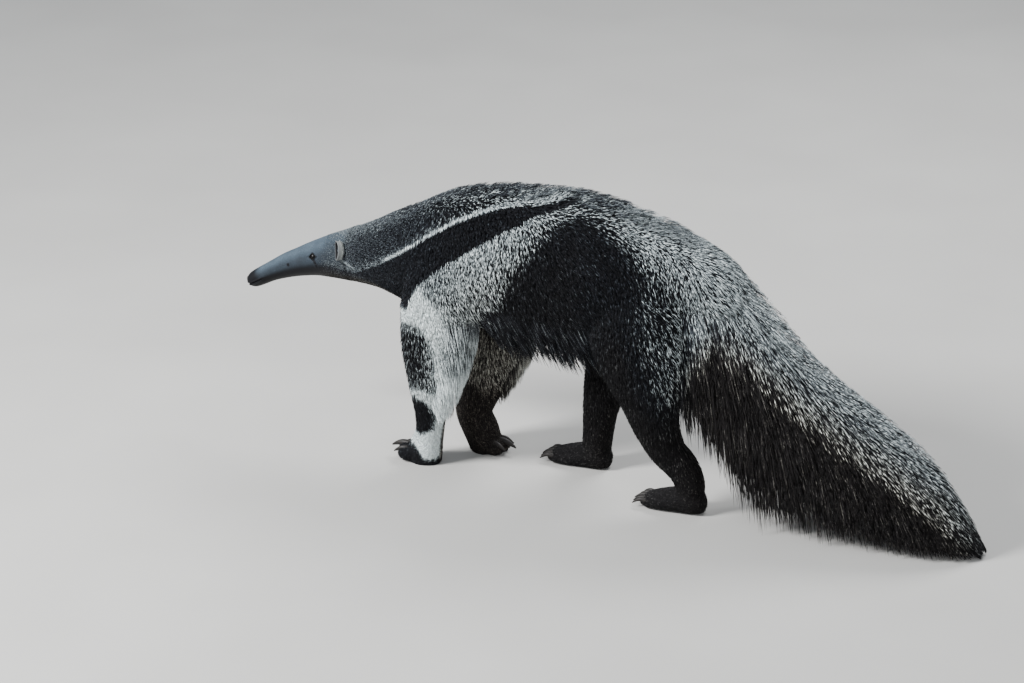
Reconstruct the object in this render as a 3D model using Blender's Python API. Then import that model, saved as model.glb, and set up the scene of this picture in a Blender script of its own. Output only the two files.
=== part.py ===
"""A giant anteater in mid stride, life size, as a still model.

Metres, +Z up. The head points to -X and the left side faces -Y. The origin is on the floor, under the
middle of the model. The flesh is modelled whole to the outside of its short coat and then parted by thin
cuts. The long hair of the tail, back and belly is built as flat, tapered locks.
"""

import math
import random
from collections import namedtuple

import bmesh
import bpy
import numpy as np
from mathutils import Matrix, Vector

GAP = 0.0003
# The sizes below are measured from a point this far from the middle of the whole length.
MIDDLE_X = 0.0275
UP = Vector((0, 0, 1))
SQUARE = (Vector((1, 0, 0)), Vector((0, 1, 0)), UP)
LEFT, RIGHT = -1, 1
SIDE_NAMES = {LEFT: "left", RIGHT: "right"}

# Head and trunk, from the muzzle tip to the root of the tail: x, z of the middle, half height, half width.
HEAD = (
    (-0.8805, 0.3450, 0.0080, 0.0090),
    (-0.8780, 0.3462, 0.0130, 0.0142),
    (-0.8715, 0.3494, 0.0172, 0.0180),
    (-0.8625, 0.3542, 0.0197, 0.0200),
    (-0.8480, 0.3628, 0.0212, 0.0212),
    (-0.8180, 0.3802, 0.0234, 0.0226),
    (-0.7760, 0.4015, 0.0294, 0.0276),
    (-0.7370, 0.4175, 0.0350, 0.0330),
    (-0.6980, 0.4315, 0.0420, 0.0388),
    (-0.6530, 0.4440, 0.0518, 0.0458),
    (-0.6150, 0.4525, 0.0598, 0.0530),
    (-0.5770, 0.4605, 0.0695, 0.0625),
    (-0.5300, 0.4700, 0.0830, 0.0760),
)
TRUNK = (
    (-0.6150, 0.4525, 0.0598, 0.0530),
    (-0.5770, 0.4605, 0.0695, 0.0625),
    (-0.5300, 0.4700, 0.0830, 0.0760),
    (-0.4790, 0.4780, 0.1040, 0.0920),
    (-0.4200, 0.4840, 0.1260, 0.1080),
    (-0.3300, 0.4950, 0.1600, 0.1280),
    (-0.2400, 0.5060, 0.1700, 0.1380),
    (-0.1500, 0.5100, 0.1740, 0.1420),
    (-0.0500, 0.5080, 0.1840, 0.1440),
    (0.0500, 0.5020, 0.1800, 0.1430),
    (0.1300, 0.5080, 0.1550, 0.1320),
    (0.2000, 0.5180, 0.1250, 0.1120),
    (0.2700, 0.5100, 0.1000, 0.0900),
    (0.3300, 0.4750, 0.0800, 0.0700),
)
HEAD_CUT = -0.5770
NECK_CUT = -0.4300
RUMP_CUT = 0.2750

# Each limb from its top to the ground: x, y, z of the middle, half length fore and aft, half width.
FORELEGS = {
    LEFT: (
        (-0.325, -0.070, 0.520, 0.090, 0.052),
        (-0.335, -0.086, 0.440, 0.098, 0.058),
        (-0.345, -0.090, 0.350, 0.092, 0.056),
        (-0.356, -0.084, 0.270, 0.080, 0.050),
        (-0.369, -0.074, 0.200, 0.058, 0.043),
        (-0.375, -0.066, 0.135, 0.040, 0.036),
        (-0.380, -0.061, 0.080, 0.034, 0.033),
        (-0.392, -0.058, 0.035, 0.041, 0.036),
        (-0.398, -0.057, -0.004, 0.042, 0.034),
    ),
    RIGHT: (
        (-0.275, 0.070, 0.520, 0.090, 0.052),
        (-0.270, 0.086, 0.440, 0.098, 0.058),
        (-0.268, 0.088, 0.350, 0.092, 0.056),
        (-0.274, 0.084, 0.270, 0.080, 0.050),
        (-0.296, 0.076, 0.200, 0.064, 0.043),
        (-0.320, 0.068, 0.135, 0.052, 0.038),
        (-0.326, 0.062, 0.090, 0.046, 0.036),
        (-0.304, 0.058, 0.042, 0.044, 0.036),
        (-0.288, 0.056, -0.004, 0.038, 0.033),
    ),
}
HIND_LEGS = {
    LEFT: (
        (0.120, -0.066, 0.520, 0.090, 0.056),
        (0.138, -0.088, 0.440, 0.118, 0.066),
        (0.158, -0.096, 0.360, 0.104, 0.064),
        (0.180, -0.094, 0.280, 0.078, 0.054),
        (0.192, -0.082, 0.210, 0.058, 0.044),
        (0.214, -0.070, 0.150, 0.046, 0.036),
        (0.250, -0.060, 0.105, 0.040, 0.032),
        (0.266, -0.055, 0.065, 0.036, 0.031),
        (0.262, -0.054, 0.025, 0.034, 0.030),
    ),
    RIGHT: (
        (0.100, 0.066, 0.520, 0.090, 0.056),
        (0.078, 0.088, 0.440, 0.118, 0.066),
        (0.052, 0.096, 0.360, 0.106, 0.064),
        (0.020, 0.092, 0.280, 0.078, 0.054),
        (-0.002, 0.086, 0.210, 0.056, 0.044),
        (-0.014, 0.083, 0.150, 0.044, 0.036),
        (-0.019, 0.082, 0.095, 0.038, 0.032),
        (-0.022, 0.082, 0.055, 0.036, 0.031),
        (-0.024, 0.082, 0.025, 0.034, 0.031),
    ),
}
# Each hind sole from heel to toes: x from the heel, z of the middle, half height, half width.
SOLE = (
    (0.000, 0.026, 0.020, 0.022),
    (-0.022, 0.025, 0.030, 0.031),
    (-0.060, 0.024, 0.030, 0.036),
    (-0.100, 0.018, 0.024, 0.040),
    (-0.128, 0.013, 0.018, 0.037),
    (-0.146, 0.010, 0.011, 0.026),
)
HEELS = {LEFT: (0.302, -0.054), RIGHT: (0.010, 0.082)}

BODY_VOXEL = 0.008
BODY_TRIANGLES = 2900

# Core of the tail, as upright slices: x, z of the middle, half height, half width.
TAIL_CORE = (
    (0.2600, 0.5120, 0.1020, 0.0920),
    (0.3000, 0.4750, 0.1080, 0.0800),
    (0.3500, 0.4220, 0.1120, 0.0660),
    (0.4200, 0.3500, 0.1120, 0.0560),
    (0.5000, 0.2850, 0.1040, 0.0520),
    (0.5800, 0.2350, 0.0880, 0.0500),
    (0.6800, 0.1850, 0.0700, 0.0460),
    (0.7700, 0.1350, 0.0520, 0.0380),
    (0.8400, 0.0880, 0.0350, 0.0280),
    (0.8800, 0.0560, 0.0200, 0.0170),
    (0.8950, 0.0440, 0.0100, 0.0090),
)
TAIL_TOP = (
    (0.250, 0.622),
    (0.323, 0.583),
    (0.389, 0.545),
    (0.445, 0.492),
    (0.492, 0.438),
    (0.539, 0.391),
    (0.593, 0.352),
    (0.660, 0.312),
    (0.726, 0.271),
    (0.792, 0.224),
    (0.846, 0.167),
    (0.894, 0.096),
    (0.940, 0.012),
)
TAIL_HEM = ((0.260, 0.176), (0.300, 0.156), (0.340, 0.115), (0.370, 0.075), (0.400, 0.030), (0.440, 0.000))
TAIL_HALF_WIDTH = ((0.26, 0.090), (0.45, 0.108), (0.65, 0.116), (0.82, 0.092), (0.90, 0.055), (0.94, 0.015))
TAIL_CUTS = (RUMP_CUT, 0.440, 0.640)
TAIL_NAMES = ("tail_base", "tail_middle", "tail_end")

# Where the legs leave the trunk: x of the front at the top and at the floor, the same of the back,
# height of the cut by the middle line and at the outside.
LEG_TOPS = {
    ("fore", LEFT): (-0.520, -0.520, -0.200, -0.200, 0.305, 0.455),
    ("fore", RIGHT): (-0.520, -0.520, -0.110, -0.110, 0.305, 0.455),
    ("hind", LEFT): (-0.010, 0.060, 0.262, 0.332, 0.300, 0.480),
    ("hind", RIGHT): (-0.080, -0.200, 0.240, 0.240, 0.300, 0.480),
}
INNER_Y, OUTER_Y = 0.004, 0.300
LEG_FLOOR = -0.050
# Cuts of each leg below its top: name of the lower piece, height, lean of the cut fore and aft.
LEG_CUTS = {
    "fore": (("forearm", 0.225, 0.0), ("forefoot", 0.078, 0.0)),
    "hind": (("shank", 0.215, 0.25), ("hindfoot", 0.078, 0.0)),
}
UPPER_NAMES = {"fore": "upper_arm", "hind": "thigh"}
LEG_COLOURS = {
    ("fore", LEFT): "pale_fur",
    ("fore", RIGHT): "pale_fur",
    ("hind", LEFT): "black_fur",
    ("hind", RIGHT): "black_fur",
}

EYE_X = -0.6910
EYE_RISE = math.radians(20)
EYE_RADIUS = 0.0085
EYE_SUNK = 0.0066
LID_LENGTH, LID_HEIGHT, LID_ROUND = 0.0080, 0.0058, 0.0021
LID_SIDES = 5

EAR_X = -0.6135
EAR_RISE = math.radians(27)
EAR_STAND = 0.007
EAR_HALF_HEIGHT, EAR_HALF_WIDTH, EAR_HALF_DEPTH = 0.0225, 0.0145, 0.0105
EAR_RIM = 0.0040
EAR_FACING = Vector((-0.72, 0.68, 0.12))
EAR_UPRIGHT = Vector((-0.35, 0.20, 0.92))

MOUTH_DROP = 0.30
MOUTH_END = -0.8380
MOUTH_HALF_HEIGHT = 0.0009
LIP_ROUND = 0.0022
NOSTRIL = Vector((-0.8797, 0.0068, 0.3520))
NOSTRIL_RADII = (0.0050, 0.0022, 0.0030)

# Claws: base on the foot, way it points, length, half thickness, drop of the tip.
HIND_SPREADS = (-0.026, -0.014, -0.001, 0.012, 0.025)
HIND_CLAWS = tuple((spread, 0.030 - 0.15 * abs(spread)) for spread in HIND_SPREADS)
HIND_CLAW_ROUND = 0.0050
FORE_CLAWS = {
    LEFT: (
        ((-0.418, -0.078, 0.026), (-1.0, -0.10, -0.10), 0.045, 0.0070),
        ((-0.424, -0.060, 0.030), (-1.0, 0.05, -0.10), 0.056, 0.0085),
        ((-0.420, -0.042, 0.026), (-1.0, 0.20, -0.12), 0.044, 0.0070),
    ),
    RIGHT: (
        ((-0.278, 0.038, 0.024), (1.0, -0.12, -0.12), 0.045, 0.0070),
        ((-0.272, 0.056, 0.026), (1.0, 0.00, -0.12), 0.056, 0.0085),
        ((-0.276, 0.074, 0.024), (1.0, 0.12, -0.12), 0.044, 0.0070),
    ),
}
CLAW_ARCH = 0.006

# A lock of hair runs on a curve of four control points, with its flat side facing outwards.
Lock = namedtuple("Lock", "path outward width thickness")
LOCK_SHAPE = ((0.0, 0.70), (0.30, 1.0), (0.60, 0.95), (0.85, 0.58), (1.0, 0.06))
LOCK_SINK = 0.014
SEED = 11

# Rows of locks down each side of the tail: how many, turn of the roots from the top of the core in degrees,
# reach back along the tail, drop of the tips from the top line to the hem, their share of the half width,
# width and thickness.
PLUME_ROWS = (
    (6, 14, 0.140, 0.06, 0.26, 0.066, 0.009),
    (8, 50, 0.115, 0.44, 0.88, 0.070, 0.009),
    (9, 88, 0.075, 0.82, 1.00, 0.072, 0.009),
    (12, 136, 0.050, 1.00, 0.90, 0.070, 0.009),
)
PLUME_FROM, PLUME_TO = 0.300, 0.835
PLUME_END = 0.938
# Locks on each side of the rump that lie back over the root of the tail and hang behind the thigh: x of the
# root, its turn from the underside of the trunk in degrees, x of the tip, its drop and its share of the
# half width.
RUMP_ROWS = (
    (0.225, 168, 0.355, 0.05, 0.25),
    (0.225, 146, 0.355, 0.14, 0.62),
    (0.228, 124, 0.345, 0.27, 0.88),
    (0.235, 102, 0.330, 0.44, 1.0),
    (0.252, 80, 0.322, 0.66, 1.0),
    (0.264, 62, 0.318, 0.86, 0.97),
)
RUMP_LOCK_WIDTH, RUMP_LOCK_THICKNESS = 0.064, 0.009
PLUME_BULGE = 0.016
PLUME_TAPER = ((0.30, 1.0), (0.78, 0.92), (0.86, 0.7))

# Locks along the middle of the neck and back: x of the root, length, rise of the tip over the back.
CREST = (-0.550, 0.235, 17)
CREST_TURN = 0.10
CREST_LENGTH = ((-0.55, 0.075), (-0.35, 0.105), (0.0, 0.095), (0.24, 0.085))
CREST_RISE = ((-0.55, 0.006), (-0.40, 0.014), (-0.20, 0.008), (0.24, 0.010))
CREST_WIDTH, CREST_THICKNESS = 0.050, 0.008
# Locks under the belly on each side: x from and to, and how many.
BELLY = {LEFT: (-0.215, 0.015, 6), RIGHT: (-0.140, -0.075, 3)}
BELLY_TURN = math.radians(28)
BELLY_DROP = ((-0.22, 0.050), (-0.05, 0.068), (0.02, 0.065))
BELLY_LOCK_WIDTH, BELLY_LOCK_THICKNESS = 0.048, 0.009
# Locks down the rear edge of each foreleg: height of the root, its turn outwards in degrees and the drop
# to the tip.
ARM_FRINGE = ((0.345, 62, 0.120), (0.350, 28, 0.150), (0.330, -8, 0.150))
ARM_LOCK_WIDTH, ARM_LOCK_THICKNESS = 0.042, 0.006

COLOURS = {
    "grey_fur": (0.16, 0.15, 0.14),
    "black_fur": (0.02, 0.018, 0.018),
    "pale_fur": (0.62, 0.58, 0.5),
    "tail_fur": (0.09, 0.075, 0.065),
    "horn": (0.03, 0.027, 0.024),
    "eye": (0.01, 0.008, 0.006),
}


def material(name):
    found = bpy.data.materials.get(name)
    if found:
        return found
    made = bpy.data.materials.new(name)
    made.use_nodes = True
    shader = made.node_tree.nodes["Principled BSDF"]
    shader.inputs["Base Color"].default_value = (*COLOURS[name], 1)
    shader.inputs["Roughness"].default_value = 0.15 if name == "eye" else 0.8
    made.diffuse_color = (*COLOURS[name], 1)
    return made


def add(name, mesh, colour):
    """A new object in the scene, shaded smooth, in one of the named colours."""
    obj = bpy.data.objects.new(name, mesh)
    bpy.context.scene.collection.objects.link(obj)
    mesh.materials.clear()
    mesh.materials.append(material(colour))
    mesh.shade_smooth()
    return obj


def remove(obj):
    bpy.data.objects.remove(obj)


def smooth_row(rows, place):
    """The row at a place between whole rows, on a smooth curve through them."""
    index = min(int(place), len(rows) - 2)
    part = place - index
    near, far = rows[index], rows[index + 1]
    before = rows[max(index - 1, 0)]
    after = rows[min(index + 2, len(rows) - 1)]
    cubic = 3 * (near - far) + after - before
    square = 2 * before - 5 * near + 4 * far - after
    return near + 0.5 * part * (far - before + part * (square + part * cubic))


def smooth_rows(rows, count):
    table = np.array(rows, float)
    return [smooth_row(table, place) for place in np.linspace(0, len(table) - 1, count)]


def value_at(pairs, x):
    """A height or width read from a line of (x, value) pairs."""
    return float(np.interp(x, [pair[0] for pair in pairs], [pair[1] for pair in pairs]))


def sizes_at(rows, place, by=0, columns=(1, 2, 3)):
    """The sizes in some columns of a table, read at a place in the column that it is ordered by."""
    table = np.array(rows)
    return [float(np.interp(place, table[:, by], table[:, column])) for column in columns]


def ring(centre, across, other, half_across, half_other, sides):
    return [
        centre
        + across * (half_across * math.cos(2 * math.pi * i / sides))
        + other * (half_other * math.sin(2 * math.pi * i / sides))
        for i in range(sides)
    ]


def closed_mesh(points, faces):
    """A mesh of these faces, turned outwards."""
    mesh = bpy.data.meshes.new("closed")
    mesh.from_pydata(points, [], faces)
    shape = bmesh.new()
    shape.from_mesh(mesh)
    bmesh.ops.recalc_face_normals(shape, faces=shape.faces)
    shape.to_mesh(mesh)
    shape.free()
    return mesh


def skin_of(rings):
    """A closed mesh through rings of equally many points."""
    sides = len(rings[0])
    points = [point for one in rings for point in one]
    faces = [
        (r * sides + i, r * sides + (i + 1) % sides, (r + 1) * sides + (i + 1) % sides, (r + 1) * sides + i)
        for r in range(len(rings) - 1)
        for i in range(sides)
    ]
    faces.append(tuple(range(sides)))
    faces.append(tuple(range(len(points) - sides, len(points))))
    return closed_mesh(points, faces)


def swept(rows, count, sides, across_near=Vector((0, 1, 0))):
    """Rings square to a smooth path. A row is x, y, z, half size in its upright plane, half width."""
    rows = smooth_rows(rows, count)
    centres = [Vector(row[:3]) for row in rows]
    rings = []
    for i, row in enumerate(rows):
        along = (centres[min(i + 1, len(rows) - 1)] - centres[max(i - 1, 0)]).normalized()
        across = (across_near - along * along.dot(across_near)).normalized()
        rings.append(ring(centres[i], across, along.cross(across), row[4], row[3], sides))
    return rings


def sliced(rows, count, sides):
    """Rings that stand upright across X. A row is x, z, half height, half width."""
    return [
        ring(Vector((row[0], 0, row[1])), Vector((0, 1, 0)), UP, row[3], row[2], sides)
        for row in smooth_rows(rows, count)
    ]


def on_middle(rows):
    """Rows of x, z, half height, half width as rows of x, y, z, half height, half width at y = 0."""
    return [(x, 0, z, half_height, half_width) for x, z, half_height, half_width in rows]


def apply_modifiers(obj):
    graph = bpy.context.evaluated_depsgraph_get()
    mesh = bpy.data.meshes.new_from_object(obj.evaluated_get(graph))
    obj.modifiers.clear()
    obj.data = mesh


def combine(target, others, operation, solver="EXACT"):
    """One Boolean with a collection of closed meshes, applied, and the collection's objects removed."""
    group = bpy.data.collections.new("operands")
    for other in others:
        group.objects.link(other)
    modifier = target.modifiers.new("combine", "BOOLEAN")
    modifier.operation = operation
    modifier.solver = solver
    modifier.operand_type = "COLLECTION"
    modifier.collection = group
    apply_modifiers(target)
    for other in others:
        remove(other)
    bpy.data.collections.remove(group)


def keep_largest(obj):
    """Drops every closed surface but the one that holds the most."""
    shape = bmesh.new()
    shape.from_mesh(obj.data)
    shells = []
    unseen = set(shape.verts)
    while unseen:
        shell = set()
        waiting = [unseen.pop()]
        while waiting:
            vert = waiting.pop()
            shell.add(vert)
            for edge in vert.link_edges:
                other = edge.other_vert(vert)
                if other in unseen:
                    unseen.discard(other)
                    waiting.append(other)
        shells.append(shell)
    largest = max(shells, key=shell_volume)
    bmesh.ops.delete(shape, geom=[vert for vert in shape.verts if vert not in largest], context="VERTS")
    shape.to_mesh(obj.data)
    shape.free()


def shell_volume(shell):
    total = 0.0
    for face in {face for vert in shell for face in vert.link_faces}:
        total += face.calc_center_median().dot(face.normal) * face.calc_area() / 3
    return total


def halved(mesh, point, normal):
    """A closed copy of the part of a closed mesh that lies behind a plane."""
    shape = bmesh.new()
    shape.from_mesh(mesh)
    everything = shape.verts[:] + shape.edges[:] + shape.faces[:]
    cut = bmesh.ops.bisect_plane(shape, geom=everything, plane_co=point, plane_no=normal, clear_outer=True)
    edges = [item for item in cut["geom_cut"] if isinstance(item, bmesh.types.BMEdge)]
    bmesh.ops.holes_fill(shape, edges=edges)
    bmesh.ops.triangulate(shape, faces=shape.faces[:])
    half = bpy.data.meshes.new("half")
    shape.to_mesh(half)
    shape.free()
    return half


def part_off(obj, name, point, normal, colour):
    """Splits off what lies in front of a plane as a new object, with the gap between the two."""
    point = Vector(point)
    normal = Vector(normal).normalized()
    piece = add(name, halved(obj.data, point + normal * (GAP / 2), -normal), colour)
    obj.data = halved(obj.data, point - normal * (GAP / 2), normal)
    obj.data.shade_smooth()
    return piece


def leg_block(side, front_top, front_low, back_top, back_low, inner_top, outer_top, spare):
    """A cutter round one leg, from under the floor to a slanting top, widened by the spare all round."""
    inner, outer = side * (INNER_Y - spare), side * (OUTER_Y + spare)
    ends = []
    for top_x, low_x in ((front_top - spare, front_low - spare), (back_top + spare, back_low + spare)):
        corners = (
            (top_x, inner, inner_top + spare),
            (top_x, outer, outer_top + spare),
            (low_x, outer, LEG_FLOOR),
            (low_x, inner, LEG_FLOOR),
        )
        ends.append([Vector(corner) for corner in corners])
    return skin_of(ends)


def ball(centre, radii, axes, segments, rings):
    """A closed ellipsoid with its three axes as given."""
    shape = bmesh.new()
    bmesh.ops.create_uvsphere(shape, u_segments=segments, v_segments=rings, radius=1)
    turn = Matrix(axes).transposed().to_4x4()
    matrix = Matrix.Translation(centre) @ turn @ Matrix.Diagonal((*radii, 1))
    bmesh.ops.transform(shape, verts=shape.verts, matrix=matrix)
    bmesh.ops.recalc_face_normals(shape, faces=shape.faces)
    mesh = bpy.data.meshes.new("ball")
    shape.to_mesh(mesh)
    shape.free()
    return mesh


def grown(mesh, amount):
    """A copy of a mesh with its surface moved outwards."""
    shape = bmesh.new()
    shape.from_mesh(mesh)
    shape.normal_update()
    moved = [(vert, vert.co + vert.normal * (vert.calc_shell_factor() * amount)) for vert in shape.verts]
    for vert, place in moved:
        vert.co = place
    copy = bpy.data.meshes.new("grown")
    shape.to_mesh(copy)
    shape.free()
    return copy


def cut_by(obj, meshes, solver="EXACT"):
    """Takes closed meshes away from an object and keeps its main piece."""
    combine(obj, [add("cutter", mesh, "horn") for mesh in meshes], "DIFFERENCE", solver)
    keep_largest(obj)


def clear_of(obj, carrier):
    """Cuts an object back until it stands one gap off what carries it."""
    cut_by(obj, [grown(carrier.data, GAP)])


def whole_body():
    """Trunk, shoulders, haunches, legs and soles as one closed skin, even and smooth."""
    pieces = [skin_of(swept(on_middle(TRUNK), 40, 28))]
    for legs in (FORELEGS, HIND_LEGS):
        pieces += [skin_of(swept(rows, 26, 20)) for rows in legs.values()]
    for side, (heel_x, heel_y) in HEELS.items():
        rows = [(heel_x + x, heel_y, z, half_height, half_width) for x, z, half_height, half_width in SOLE]
        pieces.append(skin_of(swept(rows, 16, 16)))
    shape = bmesh.new()
    for piece in pieces:
        shape.from_mesh(piece)
    mesh = bpy.data.meshes.new("body")
    shape.to_mesh(mesh)
    shape.free()
    body = add("torso", mesh, "grey_fur")
    remesh = body.modifiers.new("even", "REMESH")
    remesh.mode = "VOXEL"
    remesh.voxel_size = BODY_VOXEL
    soften = body.modifiers.new("soften", "SMOOTH")
    soften.factor = 0.5
    soften.iterations = 8
    apply_modifiers(body)
    body.data.calc_loop_triangles()
    thin = body.modifiers.new("thin", "DECIMATE")
    thin.ratio = BODY_TRIANGLES / len(body.data.loop_triangles)
    apply_modifiers(body)
    body.data = halved(body.data, (0, 0, 0), -UP)
    return body


def head_section(x):
    return sizes_at(HEAD, x)


def head_side(x, rise, side):
    """A point on the side of the head, that far up from level, and the way out of it."""
    middle, half_height, half_width = head_section(x)
    point = Vector((x, side * half_width * math.cos(rise), middle + half_height * math.sin(rise)))
    outward = Vector((0, side * math.cos(rise) / half_width, math.sin(rise) / half_height)).normalized()
    return point, outward


def axes_near(outward, upright):
    """Three square axes: along, upright and outward."""
    along = upright.cross(outward).normalized()
    return along, outward.cross(along).normalized(), outward.normalized()


def eye_centre(side):
    point, outward = head_side(EYE_X, EYE_RISE, side)
    return point - outward * EYE_SUNK


def eye_ball(side, grow):
    radius = EYE_RADIUS + grow
    return ball(eye_centre(side), (radius, radius, radius), SQUARE, 10, 7)


def lid_ring(side):
    """The rim of both lids, an almond round the eye that follows the head's slope."""
    point, outward = head_side(EYE_X, EYE_RISE, side)
    along, upright, outward = axes_near(outward, Vector((-0.2, 0, 1)))
    turns = 10
    rings = []
    for i in range(turns):
        angle = 2 * math.pi * i / turns
        pinch = 1 - 0.25 * abs(math.cos(angle)) ** 3
        spoke = along * (LID_LENGTH * math.cos(angle)) + upright * (LID_HEIGHT * pinch * math.sin(angle))
        ray = spoke.normalized()
        rings.append(ring(point + spoke, ray, outward, LID_ROUND, LID_ROUND * 0.9, LID_SIDES))
    points = [corner for one in rings for corner in one]
    faces = []
    for r in range(turns):
        near, far = r * LID_SIDES, (r + 1) % turns * LID_SIDES
        for i in range(LID_SIDES):
            after = (i + 1) % LID_SIDES
            faces.append((near + i, near + after, far + after, far + i))
    return closed_mesh(points, faces)


def lip_tube():
    """The raised edge of the lips, round the front of the muzzle."""
    reach = math.sqrt(1 - MOUTH_DROP**2)
    xs = np.linspace(MOUTH_END, HEAD[0][0] + 0.0035, 6)
    rows = []
    for side, places in ((LEFT, xs), (RIGHT, xs[::-1])):
        for x in places:
            middle, half_height, half_width = head_section(x)
            height = middle - MOUTH_DROP * half_height
            rows.append((x, side * half_width * reach, height, LIP_ROUND, LIP_ROUND))
    return skin_of(swept(rows, 15, 5, UP))


def mouth_slit():
    rows = []
    for x in (MOUTH_END, -0.856, -0.876, -0.896):
        middle, half_height, half_width = head_section(x)
        rows.append((x, middle - MOUTH_DROP * half_height, MOUTH_HALF_HEIGHT, half_width * 1.7))
    return skin_of(sliced(rows, 4, 4))


def make_head():
    """The head up to behind the ears, with lids, nostrils, lips and the line of the mouth."""
    head = add("head", skin_of(swept(on_middle(HEAD), 27, 20)), "grey_fur")
    head.data = halved(head.data, (HEAD_CUT - GAP / 2, 0, 0), Vector((1, 0, 0)))
    rims = [add("rim", lid_ring(side), "grey_fur") for side in SIDE_NAMES]
    rims.append(add("rim", lip_tube(), "grey_fur"))
    combine(head, rims, "UNION", "MANIFOLD")
    cuts = [mouth_slit()]
    for side in SIDE_NAMES:
        cuts.append(eye_ball(side, GAP))
        place = Vector((NOSTRIL.x, side * NOSTRIL.y, NOSTRIL.z))
        cuts.append(ball(place, NOSTRIL_RADII, SQUARE, 8, 6))
    cut_by(head, cuts, "MANIFOLD")
    return head


def make_eye(side):
    return add("eye_" + SIDE_NAMES[side], eye_ball(side, 0), "eye")


def make_ear(side, head):
    """A small round cup that stands off the side of the head and faces forward and out."""
    point, outward = head_side(EAR_X, EAR_RISE, side)
    facing = Vector((EAR_FACING.x, side * EAR_FACING.y, EAR_FACING.z))
    upright = Vector((EAR_UPRIGHT.x, side * EAR_UPRIGHT.y, EAR_UPRIGHT.z))
    axes = axes_near(facing, upright)
    centre = point + outward * EAR_STAND
    ear = add(
        "ear_" + SIDE_NAMES[side],
        ball(centre, (EAR_HALF_WIDTH, EAR_HALF_HEIGHT, EAR_HALF_DEPTH), axes, 12, 7),
        "pale_fur",
    )
    hollow = (EAR_HALF_WIDTH - EAR_RIM, EAR_HALF_HEIGHT - EAR_RIM, EAR_HALF_DEPTH)
    cut_by(ear, [ball(centre + axes[2] * EAR_HALF_DEPTH * 0.75, hollow, axes, 8, 5)])
    clear_of(ear, head)
    return ear


def claw_mesh(base, pointing, length, half):
    """A tapered claw, arched over and down to a blunt tip."""
    pointing = Vector(pointing).normalized()
    rows = []
    for part, size in ((0, 1.0), (0.36, 0.90), (0.72, 0.58), (1, 0.14)):
        place = Vector(base) + pointing * (length * part) + UP * (CLAW_ARCH * math.sin(math.pi * part))
        rows.append((*place, half * size * 1.15, half * size))
    return skin_of(swept(rows, 4, 5))


def make_claws(feet):
    for side, side_name in SIDE_NAMES.items():
        hind_foot = feet["hindfoot", side]
        heel_x, heel_y = HEELS[side]
        for number, (spread, length) in enumerate(HIND_CLAWS, 1):
            base = (heel_x + SOLE[-2][0] + 0.12 * abs(spread), heel_y + spread, 0.014)
            mesh = claw_mesh(base, (-1, spread * 6, -0.12), length + 0.012, HIND_CLAW_ROUND)
            claw = add(f"claw_hind_{side_name}_{number}", mesh, "horn")
            clear_of(claw, hind_foot)
        for number, (base, pointing, length, half) in enumerate(FORE_CLAWS[side], 1):
            claw = add(f"claw_fore_{side_name}_{number}", claw_mesh(base, pointing, length, half), "horn")
            clear_of(claw, feet["forefoot", side])


def part_legs(torso):
    """Cuts the legs off the trunk and each leg into its lengths. Returns the pieces by name and side."""
    pieces = {}
    for (end, side), sizes in LEG_TOPS.items():
        colour = LEG_COLOURS[end, side]
        upper = add(f"{UPPER_NAMES[end]}_{SIDE_NAMES[side]}", torso.data.copy(), colour)
        combine(upper, [add("cutter", leg_block(side, *sizes, 0), "horn")], "INTERSECT")
        keep_largest(upper)
        cut_by(torso, [leg_block(side, *sizes, GAP)])
        pieces[UPPER_NAMES[end], side] = upper
        piece = upper
        for name, height, lean in LEG_CUTS[end]:
            piece = part_off(piece, f"{name}_{SIDE_NAMES[side]}", (0, 0, height), (lean, 0, -1), colour)
            pieces[name, side] = piece
    return pieces


def curve_at(path, part):
    """The point and the direction at a part of the way along a curve of four control points."""
    first, second, third, last = path
    rest = 1 - part
    point = first * rest**3 + second * (3 * part * rest**2) + third * (3 * part**2 * rest) + last * part**3
    along = (second - first) * rest**2 + (third - second) * (2 * part * rest) + (last - third) * part**2
    return point, along.normalized()


def lock_mesh(lock, spare=0.0):
    """One flat, tapered lock, made larger all round by the spare."""
    rings = []
    for part, size in LOCK_SHAPE:
        point, along = curve_at(lock.path, part)
        across = along.cross(lock.outward).normalized()
        thickness = lock.thickness * (0.35 + 0.65 * size) if part < 1 else lock.thickness * 0.1
        end = {0.0: -spare, 1.0: spare}.get(part, 0.0)
        half_width = lock.width / 2 * size + 8 * spare
        outward = across.cross(along)
        ridge = outward * (thickness + 3 * spare)
        flat = outward * spare
        middle = point + along * end
        edge = across * half_width
        rings.append([middle - edge - flat, middle + edge - flat, middle + ridge])
    return skin_of(rings)


def core_side(x, turn, side):
    """A point on the tail's core, turned that far from its top, and the way out of it."""
    middle, half_height, half_width = sizes_at(TAIL_CORE, x)
    point = Vector((x, side * half_width * math.sin(turn), middle + half_height * math.cos(turn)))
    outward = Vector((0, side * math.sin(turn) / half_width, math.cos(turn) / half_height)).normalized()
    return point, outward


def plume_lock(draw, root, outward, tip_x, drop, share, width, thickness):
    """A lock from a root on the tail or rump to a tip on the outside of the plume."""
    drop = min(1.0, drop * draw.uniform(0.93, 1.04))
    top = value_at(TAIL_TOP, tip_x)
    tip = Vector((tip_x, 0, top + (value_at(TAIL_HEM, tip_x) - top) * drop))
    tip.y = math.copysign(share * value_at(TAIL_HALF_WIDTH, tip_x), root.y)
    tip.z = max(tip.z, thickness * 0.1)
    out_at_tip = Vector((0, math.copysign(share, root.y), 1 - drop)).normalized()
    leave = root + outward * PLUME_BULGE + (tip - root) * 0.30
    arrive = tip + (root - tip) * 0.35 + out_at_tip * PLUME_BULGE
    path = (root - outward * LOCK_SINK, leave, arrive, tip)
    return Lock(path, (outward + out_at_tip).normalized(), width * draw.uniform(0.92, 1.08), thickness)


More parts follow.
